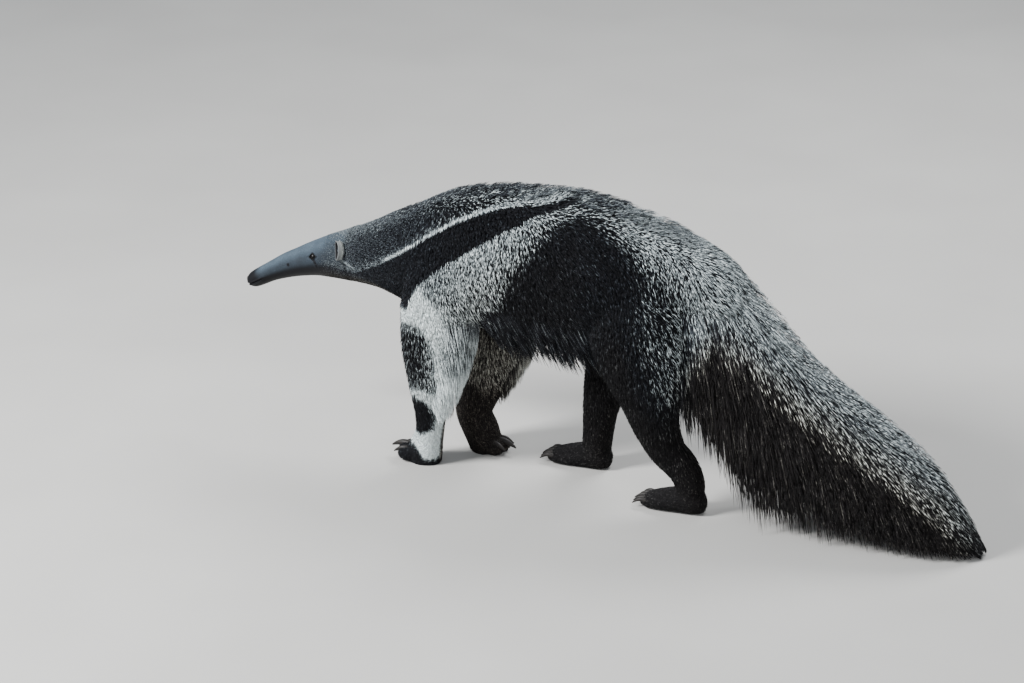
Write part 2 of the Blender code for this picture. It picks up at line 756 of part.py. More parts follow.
def plume_locks(draw):
    """All the locks of the tail, in rows from the top line to the hem."""
    locks = []
    for side in SIDE_NAMES:
        for count, turn, reach, drop, share, width, thickness in PLUME_ROWS:
            step = (PLUME_TO - PLUME_FROM) / (count - 1)
            for i in range(count):
                x = PLUME_FROM + step * (i + draw.uniform(-0.1, 0.1))
                root, outward = core_side(x, math.radians(turn + draw.uniform(-6, 6)), side)
                near_front = value_at(((0.30, 0.35), (0.42, 1.0)), x)
                tip_x = min(x + reach * near_front * draw.uniform(0.85, 1.15), PLUME_END)
                size = value_at(PLUME_TAPER, x)
                locks.append(plume_lock(draw, root, outward, tip_x, drop, share, width * size, thickness))
    return locks


def rump_locks(draw):
    locks = []
    for side in SIDE_NAMES:
        for root_x, turn, tip_x, drop, share in RUMP_ROWS:
            root, outward = trunk_side(root_x, math.radians(turn), side)
            tip_x += RUMP_LOCK_WIDTH * draw.uniform(-0.15, 0.15)
            sizes = (drop, share, RUMP_LOCK_WIDTH, RUMP_LOCK_THICKNESS)
            locks.append(plume_lock(draw, root, outward, tip_x, *sizes))
    return locks


def trunk_side(x, turn, side):
    """A point on the trunk, turned that far from its underside, and the way out of it."""
    middle, half_height, half_width = sizes_at(TRUNK, x)
    point = Vector((x, side * half_width * math.sin(turn), middle - half_height * math.cos(turn)))
    outward = Vector((0, side * math.sin(turn) / half_width, -math.cos(turn) / half_height)).normalized()
    return point, outward


def crest_locks(draw):
    """Locks that lie back along the middle of the neck and back."""
    locks = []
    for i, x in enumerate(np.linspace(*CREST)):
        side = LEFT if i % 2 else RIGHT
        root, outward = trunk_side(x, math.pi - CREST_TURN, side)
        length = value_at(CREST_LENGTH, x) * draw.uniform(0.92, 1.08)
        under_tip, _ = trunk_side(x + length, math.pi - CREST_TURN, side)
        tip = under_tip + UP * (value_at(CREST_RISE, x) * draw.uniform(0.8, 1.2))
        leave = root + UP * 0.010 + (tip - root) * 0.3
        arrive = tip + (root - tip) * 0.3 + UP * 0.008
        facing = UP + Vector((0, side * CREST_TURN, 0))
        path = (root - outward * LOCK_SINK, leave, arrive, tip)
        locks.append(Lock(path, facing, CREST_WIDTH, CREST_THICKNESS))
    return locks


def belly_locks(draw):
    locks = []
    for side, places in BELLY.items():
        for x in np.linspace(*places):
            root, outward = trunk_side(x, BELLY_TURN, side)
            drop = value_at(BELLY_DROP, x) * draw.uniform(0.85, 1.1)
            tip = root + Vector((0.030, -0.25 * (root.y), -drop))
            leave = root + outward * 0.010 + (tip - root) * 0.3
            arrive = tip + (root - tip) * 0.35 + Vector((0, side * 0.006, 0))
            path = (root - outward * LOCK_SINK, leave, arrive, tip)
            locks.append(Lock(path, Vector((0, side, 0)), BELLY_LOCK_WIDTH, BELLY_LOCK_THICKNESS))
    return locks


def limb_back(rows, z, turn, side):
    """A point on the rear of a limb at a height, turned that far outwards, and the way out of it."""
    x, y, half_length, half_width = sizes_at(rows[::-1], z, 2, (0, 1, 3, 4))
    point = Vector((x + half_length * math.cos(turn), y + side * half_width * math.sin(turn), z))
    outward = Vector((math.cos(turn) / half_length, side * math.sin(turn) / half_width, 0)).normalized()
    return point, outward


def arm_locks(side, draw):
    """Locks that hang down the rear edge of a foreleg."""
    locks = []
    for z, turn, drop in ARM_FRINGE:
        root, outward = limb_back(FORELEGS[side], z, math.radians(turn), side)
        tip = root + Vector((-0.004, 0, -drop * draw.uniform(0.9, 1.1)))
        path = (root - outward * LOCK_SINK, root + (tip - root) * 0.3, tip + (root - tip) * 0.45, tip)
        locks.append(Lock(path, outward, ARM_LOCK_WIDTH, ARM_LOCK_THICKNESS))
    return locks


def fuse_locks(obj, locks):
    combine(obj, [add("lock", lock_mesh(lock), "horn") for lock in locks], "UNION", "MANIFOLD")
    keep_largest(obj)


def clear_of_locks(obj, locks):
    """Cuts an object clear of another one's locks where they lie over it."""
    low, high = box_of(obj.data)
    for_cutting = []
    for lock in locks:
        mesh = lock_mesh(lock, GAP)
        lock_low, lock_high = box_of(mesh)
        if all(lock_low[i] < high[i] and low[i] < lock_high[i] for i in range(3)):
            for_cutting.append(mesh)
    if for_cutting:
        cut_by(obj, for_cutting, "MANIFOLD")


def box_of(mesh):
    corners = np.array([vert.co for vert in mesh.vertices])
    return corners.min(axis=0), corners.max(axis=0)


def make_tail():
    """The core of the tail in its lengths, each with its own locks. Returns the pieces and their locks."""
    core = add(TAIL_NAMES[0], skin_of(sliced(TAIL_CORE, 14, 12)), "tail_fur")
    core.data = halved(core.data, (RUMP_CUT + GAP / 2, 0, 0), Vector((-1, 0, 0)))
    pieces = [core]
    for name, x in zip(TAIL_NAMES[1:], TAIL_CUTS[1:]):
        pieces.append(part_off(pieces[-1], name, (x, 0, 0), (1, 0, 0), "tail_fur"))
    locks = plume_locks(random.Random(SEED))
    own = [[] for _ in pieces]
    for lock in locks:
        root_x = lock.path[0].x
        own[sum(root_x > x for x in TAIL_CUTS[1:])].append(lock)
    for number, piece in enumerate(pieces):
        fuse_locks(piece, own[number])
        piece.data = halved(piece.data, (0, 0, 0), -UP)
        piece.data = halved(piece.data, (TAIL_CUTS[number] + GAP / 2, 0, 0), Vector((-1, 0, 0)))
        if number:
            clear_of_locks(piece, own[number - 1])
    return pieces


for startup_object in list(bpy.data.objects):
    remove(startup_object)

torso = whole_body()
torso.data = halved(torso.data, (RUMP_CUT - GAP / 2, 0, 0), Vector((1, 0, 0)))
torso.data = halved(torso.data, (HEAD_CUT + GAP / 2, 0, 0), Vector((-1, 0, 0)))
rump_hair = rump_locks(random.Random(SEED + 2))
fuse_locks(torso, belly_locks(random.Random(SEED + 3)) + rump_hair)
legs = part_legs(torso)
neck = part_off(torso, "neck", (NECK_CUT, 0, 0), (-1, 0, 0), "grey_fur")
head = make_head()
for side in SIDE_NAMES:
    make_eye(side)
    make_ear(side, head)
make_claws(legs)
for side in SIDE_NAMES:
    fuse_locks(legs["upper_arm", side], arm_locks(side, random.Random(SEED + side)))
tail = make_tail()
crest = crest_locks(random.Random(SEED + 1))
neck_crest = [lock for lock in crest if lock.path[0].x < NECK_CUT]
back_crest = [lock for lock in crest if lock.path[0].x >= NECK_CUT]
fuse_locks(neck, neck_crest)
fuse_locks(torso, back_crest)
clear_of_locks(torso, neck_crest)
clear_of_locks(tail[0], back_crest + rump_hair)
for node in list(bpy.data.objects):
    node.location.x = -MIDDLE_X
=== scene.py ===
"""The looks of a life-size giant anteater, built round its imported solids.

One skin replaces the nodes of flesh, and a coat of solid tufts lies over it. Sizes are in metres. Places are
those of the part's source, where x is MIDDLE_X more than in the frame. show() takes that off each piece.
"""

import math

import bmesh
import bpy
import numpy as np
from mathutils import Matrix, Vector


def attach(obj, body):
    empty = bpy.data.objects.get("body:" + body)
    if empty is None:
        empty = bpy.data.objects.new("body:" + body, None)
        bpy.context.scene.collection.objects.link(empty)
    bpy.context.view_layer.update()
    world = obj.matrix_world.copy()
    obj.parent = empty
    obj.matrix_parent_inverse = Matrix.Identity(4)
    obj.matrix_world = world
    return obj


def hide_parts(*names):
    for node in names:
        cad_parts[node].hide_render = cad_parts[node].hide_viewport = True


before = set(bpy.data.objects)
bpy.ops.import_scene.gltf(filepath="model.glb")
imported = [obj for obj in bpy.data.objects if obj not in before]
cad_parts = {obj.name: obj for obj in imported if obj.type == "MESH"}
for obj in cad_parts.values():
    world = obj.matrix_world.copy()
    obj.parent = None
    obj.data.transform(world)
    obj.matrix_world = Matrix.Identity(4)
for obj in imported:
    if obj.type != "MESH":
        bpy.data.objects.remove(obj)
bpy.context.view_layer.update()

MIDDLE_X = 0.0275
LEFT, RIGHT = -1, 1
SIDE_NAMES = {LEFT: "left", RIGHT: "right"}
UP = Vector((0, 0, 1))
SEED = 29

# Camera: turn round the animal and height above the floor in degrees, distance, aim and lens.
CAMERA_TURN, CAMERA_RISE, CAMERA_DISTANCE = 25.5, 22.0, 8.0
CAMERA_AIM = Vector((-0.2275, 0.0, 0.309))
CAMERA_LENS, CAMERA_SENSOR = 123.75, 36.0

# Head, from the muzzle tip to behind the ears: x, z of the middle, half height, half width.
HEAD = (
    (-0.8805, 0.345, 0.008, 0.009),
    (-0.878, 0.3462, 0.013, 0.0142),
    (-0.8715, 0.3494, 0.0172, 0.018),
    (-0.8625, 0.3542, 0.0197, 0.02),
    (-0.848, 0.3628, 0.0212, 0.0212),
    (-0.818, 0.3802, 0.0234, 0.0226),
    (-0.776, 0.4015, 0.0294, 0.0276),
    (-0.737, 0.4175, 0.035, 0.033),
    (-0.698, 0.4315, 0.042, 0.0388),
    (-0.653, 0.444, 0.0518, 0.0458),
    (-0.615, 0.4525, 0.0598, 0.053),
    (-0.577, 0.4605, 0.0695, 0.0625),
    (-0.53, 0.47, 0.083, 0.076),
)
TRUNK = HEAD[-3:] + (
    (-0.479, 0.478, 0.104, 0.092),
    (-0.42, 0.484, 0.126, 0.108),
    (-0.33, 0.495, 0.16, 0.128),
    (-0.24, 0.506, 0.17, 0.138),
    (-0.15, 0.51, 0.174, 0.142),
    (-0.05, 0.508, 0.184, 0.144),
    (0.05, 0.502, 0.18, 0.143),
    (0.13, 0.508, 0.155, 0.132),
    (0.2, 0.518, 0.125, 0.112),
    (0.27, 0.51, 0.1, 0.09),
    (0.33, 0.475, 0.08, 0.07),
)
# The fleshy part of the tail under its long hair.
TAIL = (
    (0.24, 0.512, 0.09, 0.078),
    (0.3, 0.485, 0.07, 0.056),
    (0.36, 0.435, 0.052, 0.044),
    (0.44, 0.356, 0.04, 0.036),
    (0.52, 0.29, 0.034, 0.031),
    (0.62, 0.23, 0.028, 0.027),
    (0.72, 0.175, 0.022, 0.022),
    (0.82, 0.108, 0.015, 0.015),
    (0.87, 0.07, 0.008, 0.008),
)
# Each limb from its top to the ground: x, y, z of the middle, half length fore and aft, half width.
FORELEGS = {
    LEFT: (
        (-0.325, -0.07, 0.52, 0.09, 0.052),
        (-0.335, -0.086, 0.44, 0.098, 0.058),
        (-0.345, -0.09, 0.35, 0.092, 0.056),
        (-0.356, -0.084, 0.27, 0.08, 0.05),
        (-0.369, -0.074, 0.2, 0.058, 0.043),
        (-0.375, -0.066, 0.135, 0.04, 0.036),
        (-0.38, -0.061, 0.08, 0.034, 0.033),
        (-0.392, -0.058, 0.035, 0.041, 0.036),
        (-0.398, -0.057, -0.004, 0.042, 0.034),
    ),
    RIGHT: (
        (-0.275, 0.07, 0.52, 0.09, 0.052),
        (-0.27, 0.086, 0.44, 0.098, 0.058),
        (-0.268, 0.088, 0.35, 0.092, 0.056),
        (-0.274, 0.084, 0.27, 0.08, 0.05),
        (-0.296, 0.076, 0.2, 0.064, 0.043),
        (-0.32, 0.068, 0.135, 0.052, 0.038),
        (-0.326, 0.062, 0.09, 0.046, 0.036),
        (-0.304, 0.058, 0.042, 0.044, 0.036),
        (-0.288, 0.056, -0.004, 0.038, 0.033),
    ),
}
HIND_LEGS = {
    LEFT: (
        (0.12, -0.066, 0.52, 0.09, 0.056),
        (0.138, -0.088, 0.44, 0.118, 0.066),
        (0.158, -0.096, 0.36, 0.104, 0.064),
        (0.18, -0.094, 0.28, 0.078, 0.054),
        (0.192, -0.082, 0.21, 0.058, 0.044),
        (0.214, -0.07, 0.15, 0.046, 0.036),
        (0.25, -0.06, 0.105, 0.04, 0.032),
        (0.266, -0.055, 0.065, 0.036, 0.031),
        (0.262, -0.054, 0.025, 0.034, 0.03),
    ),
    RIGHT: (
        (0.1, 0.066, 0.52, 0.09, 0.056),
        (0.078, 0.088, 0.44, 0.118, 0.066),
        (0.052, 0.096, 0.36, 0.106, 0.064),
        (0.02, 0.092, 0.28, 0.078, 0.054),
        (-0.002, 0.086, 0.21, 0.056, 0.044),
        (-0.014, 0.083, 0.15, 0.044, 0.036),
        (-0.019, 0.082, 0.095, 0.038, 0.032),
        (-0.022, 0.082, 0.055, 0.036, 0.031),
        (-0.024, 0.082, 0.025, 0.034, 0.031),
    ),
}
# Each hind sole from heel to toes: x from the heel, z of the middle, half height, half width.
SOLE = (
    (0.0, 0.026, 0.02, 0.022),
    (-0.022, 0.025, 0.03, 0.031),
    (-0.06, 0.024, 0.03, 0.036),
    (-0.1, 0.018, 0.024, 0.04),
    (-0.128, 0.013, 0.018, 0.037),
    (-0.146, 0.01, 0.011, 0.026),
)
HEELS = {LEFT: (0.302, -0.054), RIGHT: (0.01, 0.082)}

# How far the skin lies inside the solids, for the coat over it, along the trunk and down the legs.
TRUNK_COAT = ((-0.62, 0.001), (-0.54, 0.004), (-0.43, 0.008), (-0.3, 0.01), (0.24, 0.01))
LEG_COAT = ((0.03, 0.002), (0.1, 0.003), (0.22, 0.006), (0.35, 0.009), (0.52, 0.01))
SKIN_VOXEL = 0.0042
SOLE_COAT = 0.002
TRUNK_SHARE = 0.42
HEAD_SEAM = -0.602
# The bulge of each hind toe, by its radii.
HIND_TOE = (0.015, 0.0072, 0.0095)

# Hind claws: place across the foot and length. Foreclaws: base, way they point, length and half thickness.
HIND_CLAWS = [(spread, 0.03 - 0.15 * abs(spread)) for spread in (-0.026, -0.014, -0.001, 0.012, 0.025)]
HIND_CLAW_ROUND, HIND_CLAW_SUNK = 0.005, 0.012
FORE_CLAWS = {
    LEFT: (
        ((-0.418, -0.078, 0.026), (-1.0, -0.1, -0.1), 0.045, 0.007),
        ((-0.424, -0.06, 0.03), (-1.0, 0.05, -0.1), 0.056, 0.0085),
        ((-0.42, -0.042, 0.026), (-1.0, 0.2, -0.12), 0.044, 0.007),
    ),
    RIGHT: (
        ((-0.278, 0.038, 0.024), (1.0, -0.12, -0.12), 0.045, 0.007),
        ((-0.272, 0.056, 0.026), (1.0, 0.0, -0.12), 0.056, 0.0085),
        ((-0.276, 0.074, 0.024), (1.0, 0.12, -0.12), 0.044, 0.007),
    ),
}
CLAW_ARCH = 0.008


# Tables and smooth curves.


def read_rows(rows, key, places, *columns):
    """Columns of a table at places along its key column, which may run up or down."""
    table = np.array(sorted(rows, key=lambda row: row[key]))
    return [np.interp(places, table[:, key], table[:, column]) for column in columns]


def value_at(pairs, x):
    """A size read from a line of (x, value) pairs, for one place or an array of them."""
    return read_rows(pairs, 0, x, 1)[0]


def smooth_rows(rows, place):
    """Rows along a smooth curve through the rows given, at places counted in rows, or at a number of them."""
    table = np.array(rows, float)
    if np.isscalar(place):
        place = np.linspace(0, len(table) - 1, place)
    index = np.minimum(place.astype(int), len(table) - 2)
    part = (place - index)[:, None]
    near, far = table[index], table[index + 1]
    before = table[np.maximum(index - 1, 0)]
    after = table[np.minimum(index + 2, len(table) - 1)]
    cubic = 3 * (near - far) + after - before
    square = 2 * before - 5 * near + 4 * far - after
    return near + 0.5 * part * (far - before + part * (square + part * cubic))


def unit(vectors):
    return vectors / np.maximum(np.linalg.norm(vectors, axis=-1, keepdims=True), 1e-12)


def fade(low, high, value):
    """A smooth rise from 0 at low to 1 at high, or a fall where high is the smaller one."""
    part = np.clip((value - low) / (high - low), 0, 1)
    return part * part * (3 - 2 * part)


def hump(value, middle, reach):
    """A smooth hump, 1 at the middle and near 0 past twice the reach."""
    return np.exp(-(((value - middle) / reach) ** 2))


def toward(value, goal, share):
    return value + share * (goal - value)


def swept(rows, places, turns):
    """Rings square to a smooth path, as an array of ring, point and coordinate."""
    rows = smooth_rows(rows, places)
    centres = rows[:, :3]
    along = unit(np.gradient(centres, axis=0))
    level = np.array((0.0, 1.0, 0.0))
    across = unit(level - along * (along @ level)[:, None])
    other = np.cross(along, across)
    angle = np.linspace(0, 2 * math.pi, turns, endpoint=False) if np.isscalar(turns) else turns
    round_part = across[:, None] * (rows[:, 4, None] * np.cos(angle))[..., None]
    return centres[:, None] + round_part + other[:, None] * (rows[:, 3, None] * np.sin(angle))[..., None]


def tube_faces(rings, sides):
    """Quads between rings, with both ends closed."""
    faces = []
    for r in range(rings - 1):
        for i in range(sides):
            j = (i + 1) % sides
            faces.append((r * sides + i, r * sides + j, (r + 1) * sides + j, (r + 1) * sides + i))
    faces.append(tuple(range(sides)))
    faces.append(tuple(range((rings - 1) * sides, rings * sides)))
    return faces


def tube_shape(rings):
    """A closed bmesh through an array of rings, with its faces outwards."""
    shape = bmesh.new()
    verts = [shape.verts.new(point) for point in rings.reshape(-1, 3)]
    for face in tube_faces(*rings.shape[:2]):
        shape.faces.new([verts[i] for i in face])
    bmesh.ops.recalc_face_normals(shape, faces=shape.faces)
    return shape


def mesh_of(shape, name):
    mesh = bpy.data.meshes.new(name)
    shape.to_mesh(mesh)
    shape.free()
    return mesh


def join_shapes(shapes):
    """One bmesh that holds all the given ones."""
    whole = bmesh.new()
    for shape in shapes:
        whole.from_mesh(mesh_of(shape, "piece"))
    return whole


def linked(name, data):
    """A new object in the scene."""
    obj = bpy.data.objects.new(name, data)
    bpy.context.scene.collection.objects.link(obj)
    return obj


def show(name, mesh, material, slot, nodes=()):
    """Puts a finished piece at its place in the frame. It rides on the body and replaces the nodes given."""
    mesh.transform(Matrix.Translation((-MIDDLE_X, 0, 0)))
    mesh.shade_smooth()
    mesh.materials.clear()
    mesh.materials.append(material)
    obj = linked(name, mesh)
    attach(obj, "root")
    if nodes:
        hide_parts(*nodes)


# Skin.


def on_middle(rows):
    return [(x, 0, z, half_height, half_width) for x, z, half_height, half_width in rows]


def under_coat(rows, depth):
    """The same rows made thinner by the coat's depth at each of them."""
    thinner = []
    for row in rows:
        off = depth(row)
        thinner.append((*row[:-2], row[-2] - off, row[-1] - off))
    return thinner


def ball_shape(centre, radii, segments, rings):
    """A closed ball, stretched to its radii along x, y and z."""
    shape = bmesh.new()
    bmesh.ops.create_uvsphere(shape, u_segments=segments, v_segments=rings, radius=1)
    place = Matrix.Translation(centre) @ Matrix.Diagonal((*radii, 1))
    bmesh.ops.transform(shape, verts=shape.verts, matrix=place)
    bmesh.ops.recalc_face_normals(shape, faces=shape.faces)
    return shape


def body_shapes():
    """Closed shapes of trunk, legs, soles, toes and the flesh of the tail, which overlap."""
    trunk = under_coat(TRUNK, lambda row: value_at(TRUNK_COAT, row[0]))
    shapes = [tube_shape(swept(on_middle(trunk), 60, 48))]
    shapes.append(tube_shape(swept(on_middle(TAIL), 50, 24)))
    for rows in (*FORELEGS.values(), *HIND_LEGS.values()):
        thinner = under_coat(rows, lambda row: value_at(LEG_COAT, row[2]))
        shapes.append(tube_shape(swept(thinner, 40, 28)))
    for side, (heel_x, heel_y) in HEELS.items():
        rows = [(heel_x + x, heel_y, z, tall - SOLE_COAT, wide - SOLE_COAT) for x, z, tall, wide in SOLE]
        shapes.append(tube_shape(swept(rows, 24, 20)))
        for spread, _ in HIND_CLAWS:
            centre = (heel_x - 0.13 + 0.12 * abs(spread), heel_y + spread * 0.92, 0.013)
            shapes.append(ball_shape(centre, HIND_TOE, 14, 8))
        for base, pointing, _, half in FORE_CLAWS[side]:
            centre = Vector(base) + Vector(pointing).normalized() * 0.012 - UP * 0.005
            shapes.append(ball_shape(centre, (0.024, half + 0.006, 0.0185), 16, 10))
    return shapes


def apply_modifiers(obj):
    graph = bpy.context.evaluated_depsgraph_get()
    mesh = bpy.data.meshes.new_from_object(obj.evaluated_get(graph))
    bpy.data.objects.remove(obj)
    return mesh


def even_body():
    """The body without its head as one even, smooth surface, open where the head joins it."""
    obj = linked("body", mesh_of(join_shapes(body_shapes()), "body"))
    remesh = obj.modifiers.new("even", "REMESH")
    remesh.mode = "VOXEL"
    remesh.voxel_size = SKIN_VOXEL
    shape = bmesh.new()
    shape.from_mesh(smoothed(apply_modifiers(obj)))
    cut_open(shape, HEAD_SEAM + 0.002, -1)
    for vert in shape.verts:
        vert.co.z = max(vert.co.z, 0.0)
    return shape


def smoothed(mesh):
    """Smooths the surface, most where the legs join the trunk, and thins it where long hair hides it."""
    obj = linked("body", mesh)
    joins, trunk = (obj.vertex_groups.new(name=name) for name in ("joins", "trunk"))
    for vert in mesh.vertices:
        x, _, z = vert.co
        if x > -0.46 and z > 0.17:
            joins.add([vert.index], min((x + 0.46) / 0.06, (z - 0.17) / 0.06, 1.0), "REPLACE")
        if z > 0.12 or x > 0.33:
            trunk.add([vert.index], 1.0, "REPLACE")
    for name, rounds, group in (("soften", 7, ""), ("join", 32, joins.name)):
        soften = obj.modifiers.new(name, "SMOOTH")
        soften.factor = 0.5
        soften.iterations = rounds
        soften.vertex_group = group
    thin = obj.modifiers.new("thin", "DECIMATE")
    thin.ratio = TRUNK_SHARE
    thin.vertex_group = trunk.name
    return apply_modifiers(obj)


def cut_open(shape, x, keep_out):
    """Cuts a shape open at x and drops what lies on the side that keep_out points to."""
    everything = shape.verts[:] + shape.edges[:] + shape.faces[:]
    bmesh.ops.bisect_plane(
        shape, geom=everything, plane_co=(x, 0, 0), plane_no=(keep_out, 0, 0), clear_outer=True
    )


HEAD_RINGS, HEAD_SIDES = 236, 168
EYE_X, EYE_RISE = -0.691, math.radians(20)
LIP_RISE = -0.28
EYE_RADIUS, EYE_SUNK = 0.0085, 0.0066
LID_LENGTH, LID_HEIGHT = 0.0082, 0.005
MOUTH_DROP, MOUTH_END = 0.3, -0.838
NOSTRIL = np.array((-0.8805, 0.0068, 0.352))
MOLE = np.array((-0.761, 0.029, 0.414))
# The crease that runs down from the eye, from and to, forward and up from the middle of the eye.
CREASE = ((0.001, -0.003), (-0.009, -0.024))


def head_section(x):
    """Height of the middle, half height and half width of the head at x."""
    return read_rows(HEAD, 0, x, 1, 2, 3)


def head_side(x, rise, side):
    """A point on the side of the head, that far up from level, and the way out of it."""
    middle, half_height, half_width = head_section(x)
    level, up = side * math.cos(rise), math.sin(rise)
    outward = Vector((0, level / half_width, up / half_height)).normalized()
    return Vector((x, half_width * level, middle + half_height * up)), outward


def head_relief(points):
    """How far the skin of the head stands out from its plain shape: lids, mouth, nostrils, cheek and brow."""
    x, y, z = points[:, 0], np.abs(points[:, 1]), points[:, 2]
    mirrored = np.stack((x, y, z), axis=1)
    cheek = hump(x, -0.64, 0.032) * hump(z, 0.432, 0.022)
    hollow = hump(x, -0.728, 0.026) * hump(z, 0.44, 0.01)
    brow = hump(x, -0.684, 0.016) * hump(z, 0.47, 0.008) * fade(0.01, 0.022, y)
    relief = eye_relief(mirrored) + mouth_relief(mirrored)
    return relief + 0.002 * cheek - 0.0014 * hollow + 0.0016 * brow


def eye_place(mirrored):
    """Where each point lies by the eye.

    lid is 1 on the edge of the lids, u and v lie along the eye and up, part runs down the crease below it,
    across and away are the distances from the crease, and near is 0 on the far side of the head."""
    point, outward = head_side(EYE_X, EYE_RISE, RIGHT)
    along = np.array(Vector((-0.2, 0, 1)).cross(outward).normalized())
    upright = np.cross(np.array(outward), along)
    away = mirrored - np.array(point)
    u, v = away @ along, away @ upright
    near = (np.abs(away @ np.array(outward)) < 0.02).astype(float)
    corner = 1 - 0.4 * np.abs(np.clip(u / LID_LENGTH, -1, 1)) ** 2.2
    lid = np.sqrt((u / LID_LENGTH) ** 2 + (v / (LID_HEIGHT * corner)) ** 2)
    start, end = np.array(CREASE)
    run = end - start
    part = ((u - start[0]) * run[0] + (v - start[1]) * run[1]) / (run @ run)
    held = np.clip(part, 0, 1)
    off_u, off_v = u - start[0] - held * run[0], v - start[1] - held * run[1]
    across = (off_u * run[1] - off_v * run[0]) / np.linalg.norm(run)
    return lid, u, v, part, across, np.hypot(off_u, off_v), near


def eye_relief(mirrored):
    """The socket, both lids with their folds, and the crease below the eye."""
    lid, _, v, part, across, away, near = eye_place(mirrored)
    relief = -0.0078 * (1 - fade(0.72, 1.04, lid)) + 0.0019 * hump(lid, 1.3, 0.26)
    relief += 0.0009 * hump(lid, 2.05, 0.2) * fade(-0.001, 0.003, v)
    relief -= 0.0006 * hump(lid, 1.7, 0.14)
    relief += 0.0005 * hump(lid, 2.7, 0.22) * fade(0.001, -0.004, v)
    held = np.clip(part, 0, 1)
    depth = 0.0022 * (1 - 0.6 * held) * fade(1.25, 0.8, part)
    relief -= depth * hump(away, 0, 0.0021 - 0.0008 * held) * (lid > 0.9)
    fold = hump(across, -0.0046, 0.0024) * fade(-0.3, 0.1, part) * fade(1.2, 0.7, part)
    return (relief + 0.0009 * fold) * near


def eye_shadow(mirrored):
    """Painted shade: how dark the skin is made in the hollow round the eye and along the crease below it."""
    lid, u, v, part, _, away, near = eye_place(mirrored)
    blot = fade(1.15, 0.7, np.hypot(u / 0.007, (v - 0.001) / 0.0092))
    wide = 0.0062 - 0.003 * np.clip(part, 0, 1)
    crease = fade(wide, 0.4 * wide, away) * fade(1.1, 0.7, part) * 0.85
    return np.maximum(np.maximum(fade(1.6, 1.15, lid), blot), crease) * near


def mouth_relief(mirrored):
    """The line of the mouth with its lips, and the nostrils."""
    x, z = mirrored[:, 0], mirrored[:, 2]
    middle, half_height, _ = head_section(x)
    mouth = z - (middle - MOUTH_DROP * half_height)
    open_part = fade(MOUTH_END + 0.008, MOUTH_END - 0.006, x)
    relief = (0.0013 * hump(np.abs(mouth), 0.0034, 0.0018) - 0.0026 * hump(mouth, 0, 0.0011)) * open_part
    nostril = (mirrored - NOSTRIL) / np.array((0.0064, 0.0024, 0.0034))
    hole = np.sqrt((nostril**2).sum(axis=1))
    return relief - 0.0042 * (1 - fade(0.55, 1.1, hole)) + 0.001 * hump(hole, 1.5, 0.35)


def crowded(count, low, high, spots):
    """Places from low to high, closer together near each spot, given as (middle, reach, weight)."""
    fine = np.linspace(low, high, 2000)
    weight = np.ones_like(fine)
    for middle, reach, extra in spots:
        weight += extra * hump(fine, middle, reach)
    total = np.cumsum(weight)
    return np.interp(np.linspace(total[0], total[-1], count), total, fine)


def head_shape():
    """The head as a fine tube from the muzzle tip to the seam with the neck, open there."""
    tip = HEAD[0][0]
    xs = crowded(HEAD_RINGS, tip, HEAD_SEAM + 0.01, ((EYE_X, 0.014, 5.0), (tip, 0.016, 3.0)))
    eyes = [(turn, 0.22, 3.0) for turn in (EYE_RISE, math.pi - EYE_RISE)]
    lips = [(turn, 0.2, 2.0) for turn in (LIP_RISE, -math.pi - LIP_RISE)]
    turns = crowded(HEAD_SIDES + 1, -math.pi, math.pi, eyes + lips)[:-1]
    rings = swept(on_middle(HEAD), np.interp(xs, [row[0] for row in HEAD], range(len(HEAD))), turns)
    along = np.gradient(rings, axis=0)
    around = np.roll(rings, -1, axis=1) - np.roll(rings, 1, axis=1)
    outward = unit(np.cross(along, around))
    centres = rings.mean(axis=1, keepdims=True)
    outward *= np.sign((outward * (rings - centres)).sum(axis=-1, keepdims=True))
    relief = head_relief(rings.reshape(-1, 3)).reshape(rings.shape[:2])
    shape = tube_shape(rings + outward * relief[..., None])
    cut_open(shape, HEAD_SEAM - 0.002, 1)
    return shape


EAR_X, EAR_RISE = -0.6135, math.radians(27)
EAR_STAND = 0.007
EAR_HALF_HEIGHT, EAR_HALF_WIDTH, EAR_HALF_DEPTH = 0.0225, 0.013, 0.0105
EAR_FACING = Vector((-0.72, 0.68, 0.12))
EAR_UPRIGHT = Vector((-0.7, 0.16, 0.85))
EAR_SIDES = 48
EAR_BACK_TONES = (0.62, 0.62, 0.6, 0.54, 0.42, 0.34, 0.36)
# The cup's tones fall to near black inwards: painted shade in its hollow.
EAR_CUP_TONES = (0.36, 0.16, 0.06, 0.03, 0.02, 0.01, 0.01)
EAR_HAIRY_ROWS = 4
# The shell of the ear from the middle of its back over the rim and into the cup: size and place forward.
EAR_BACK = ((0.3, -1.0), (0.58, -0.9), (0.8, -0.66), (0.93, -0.3), (0.99, 0.1), (1.0, 0.42), (0.985, 0.62))
EAR_CUP = (
    (0.945, 0.68), (0.89, 0.58), (0.83, 0.34), (0.76, 0.05), (0.66, -0.22), (0.5, -0.44), (0.28, -0.56),
)


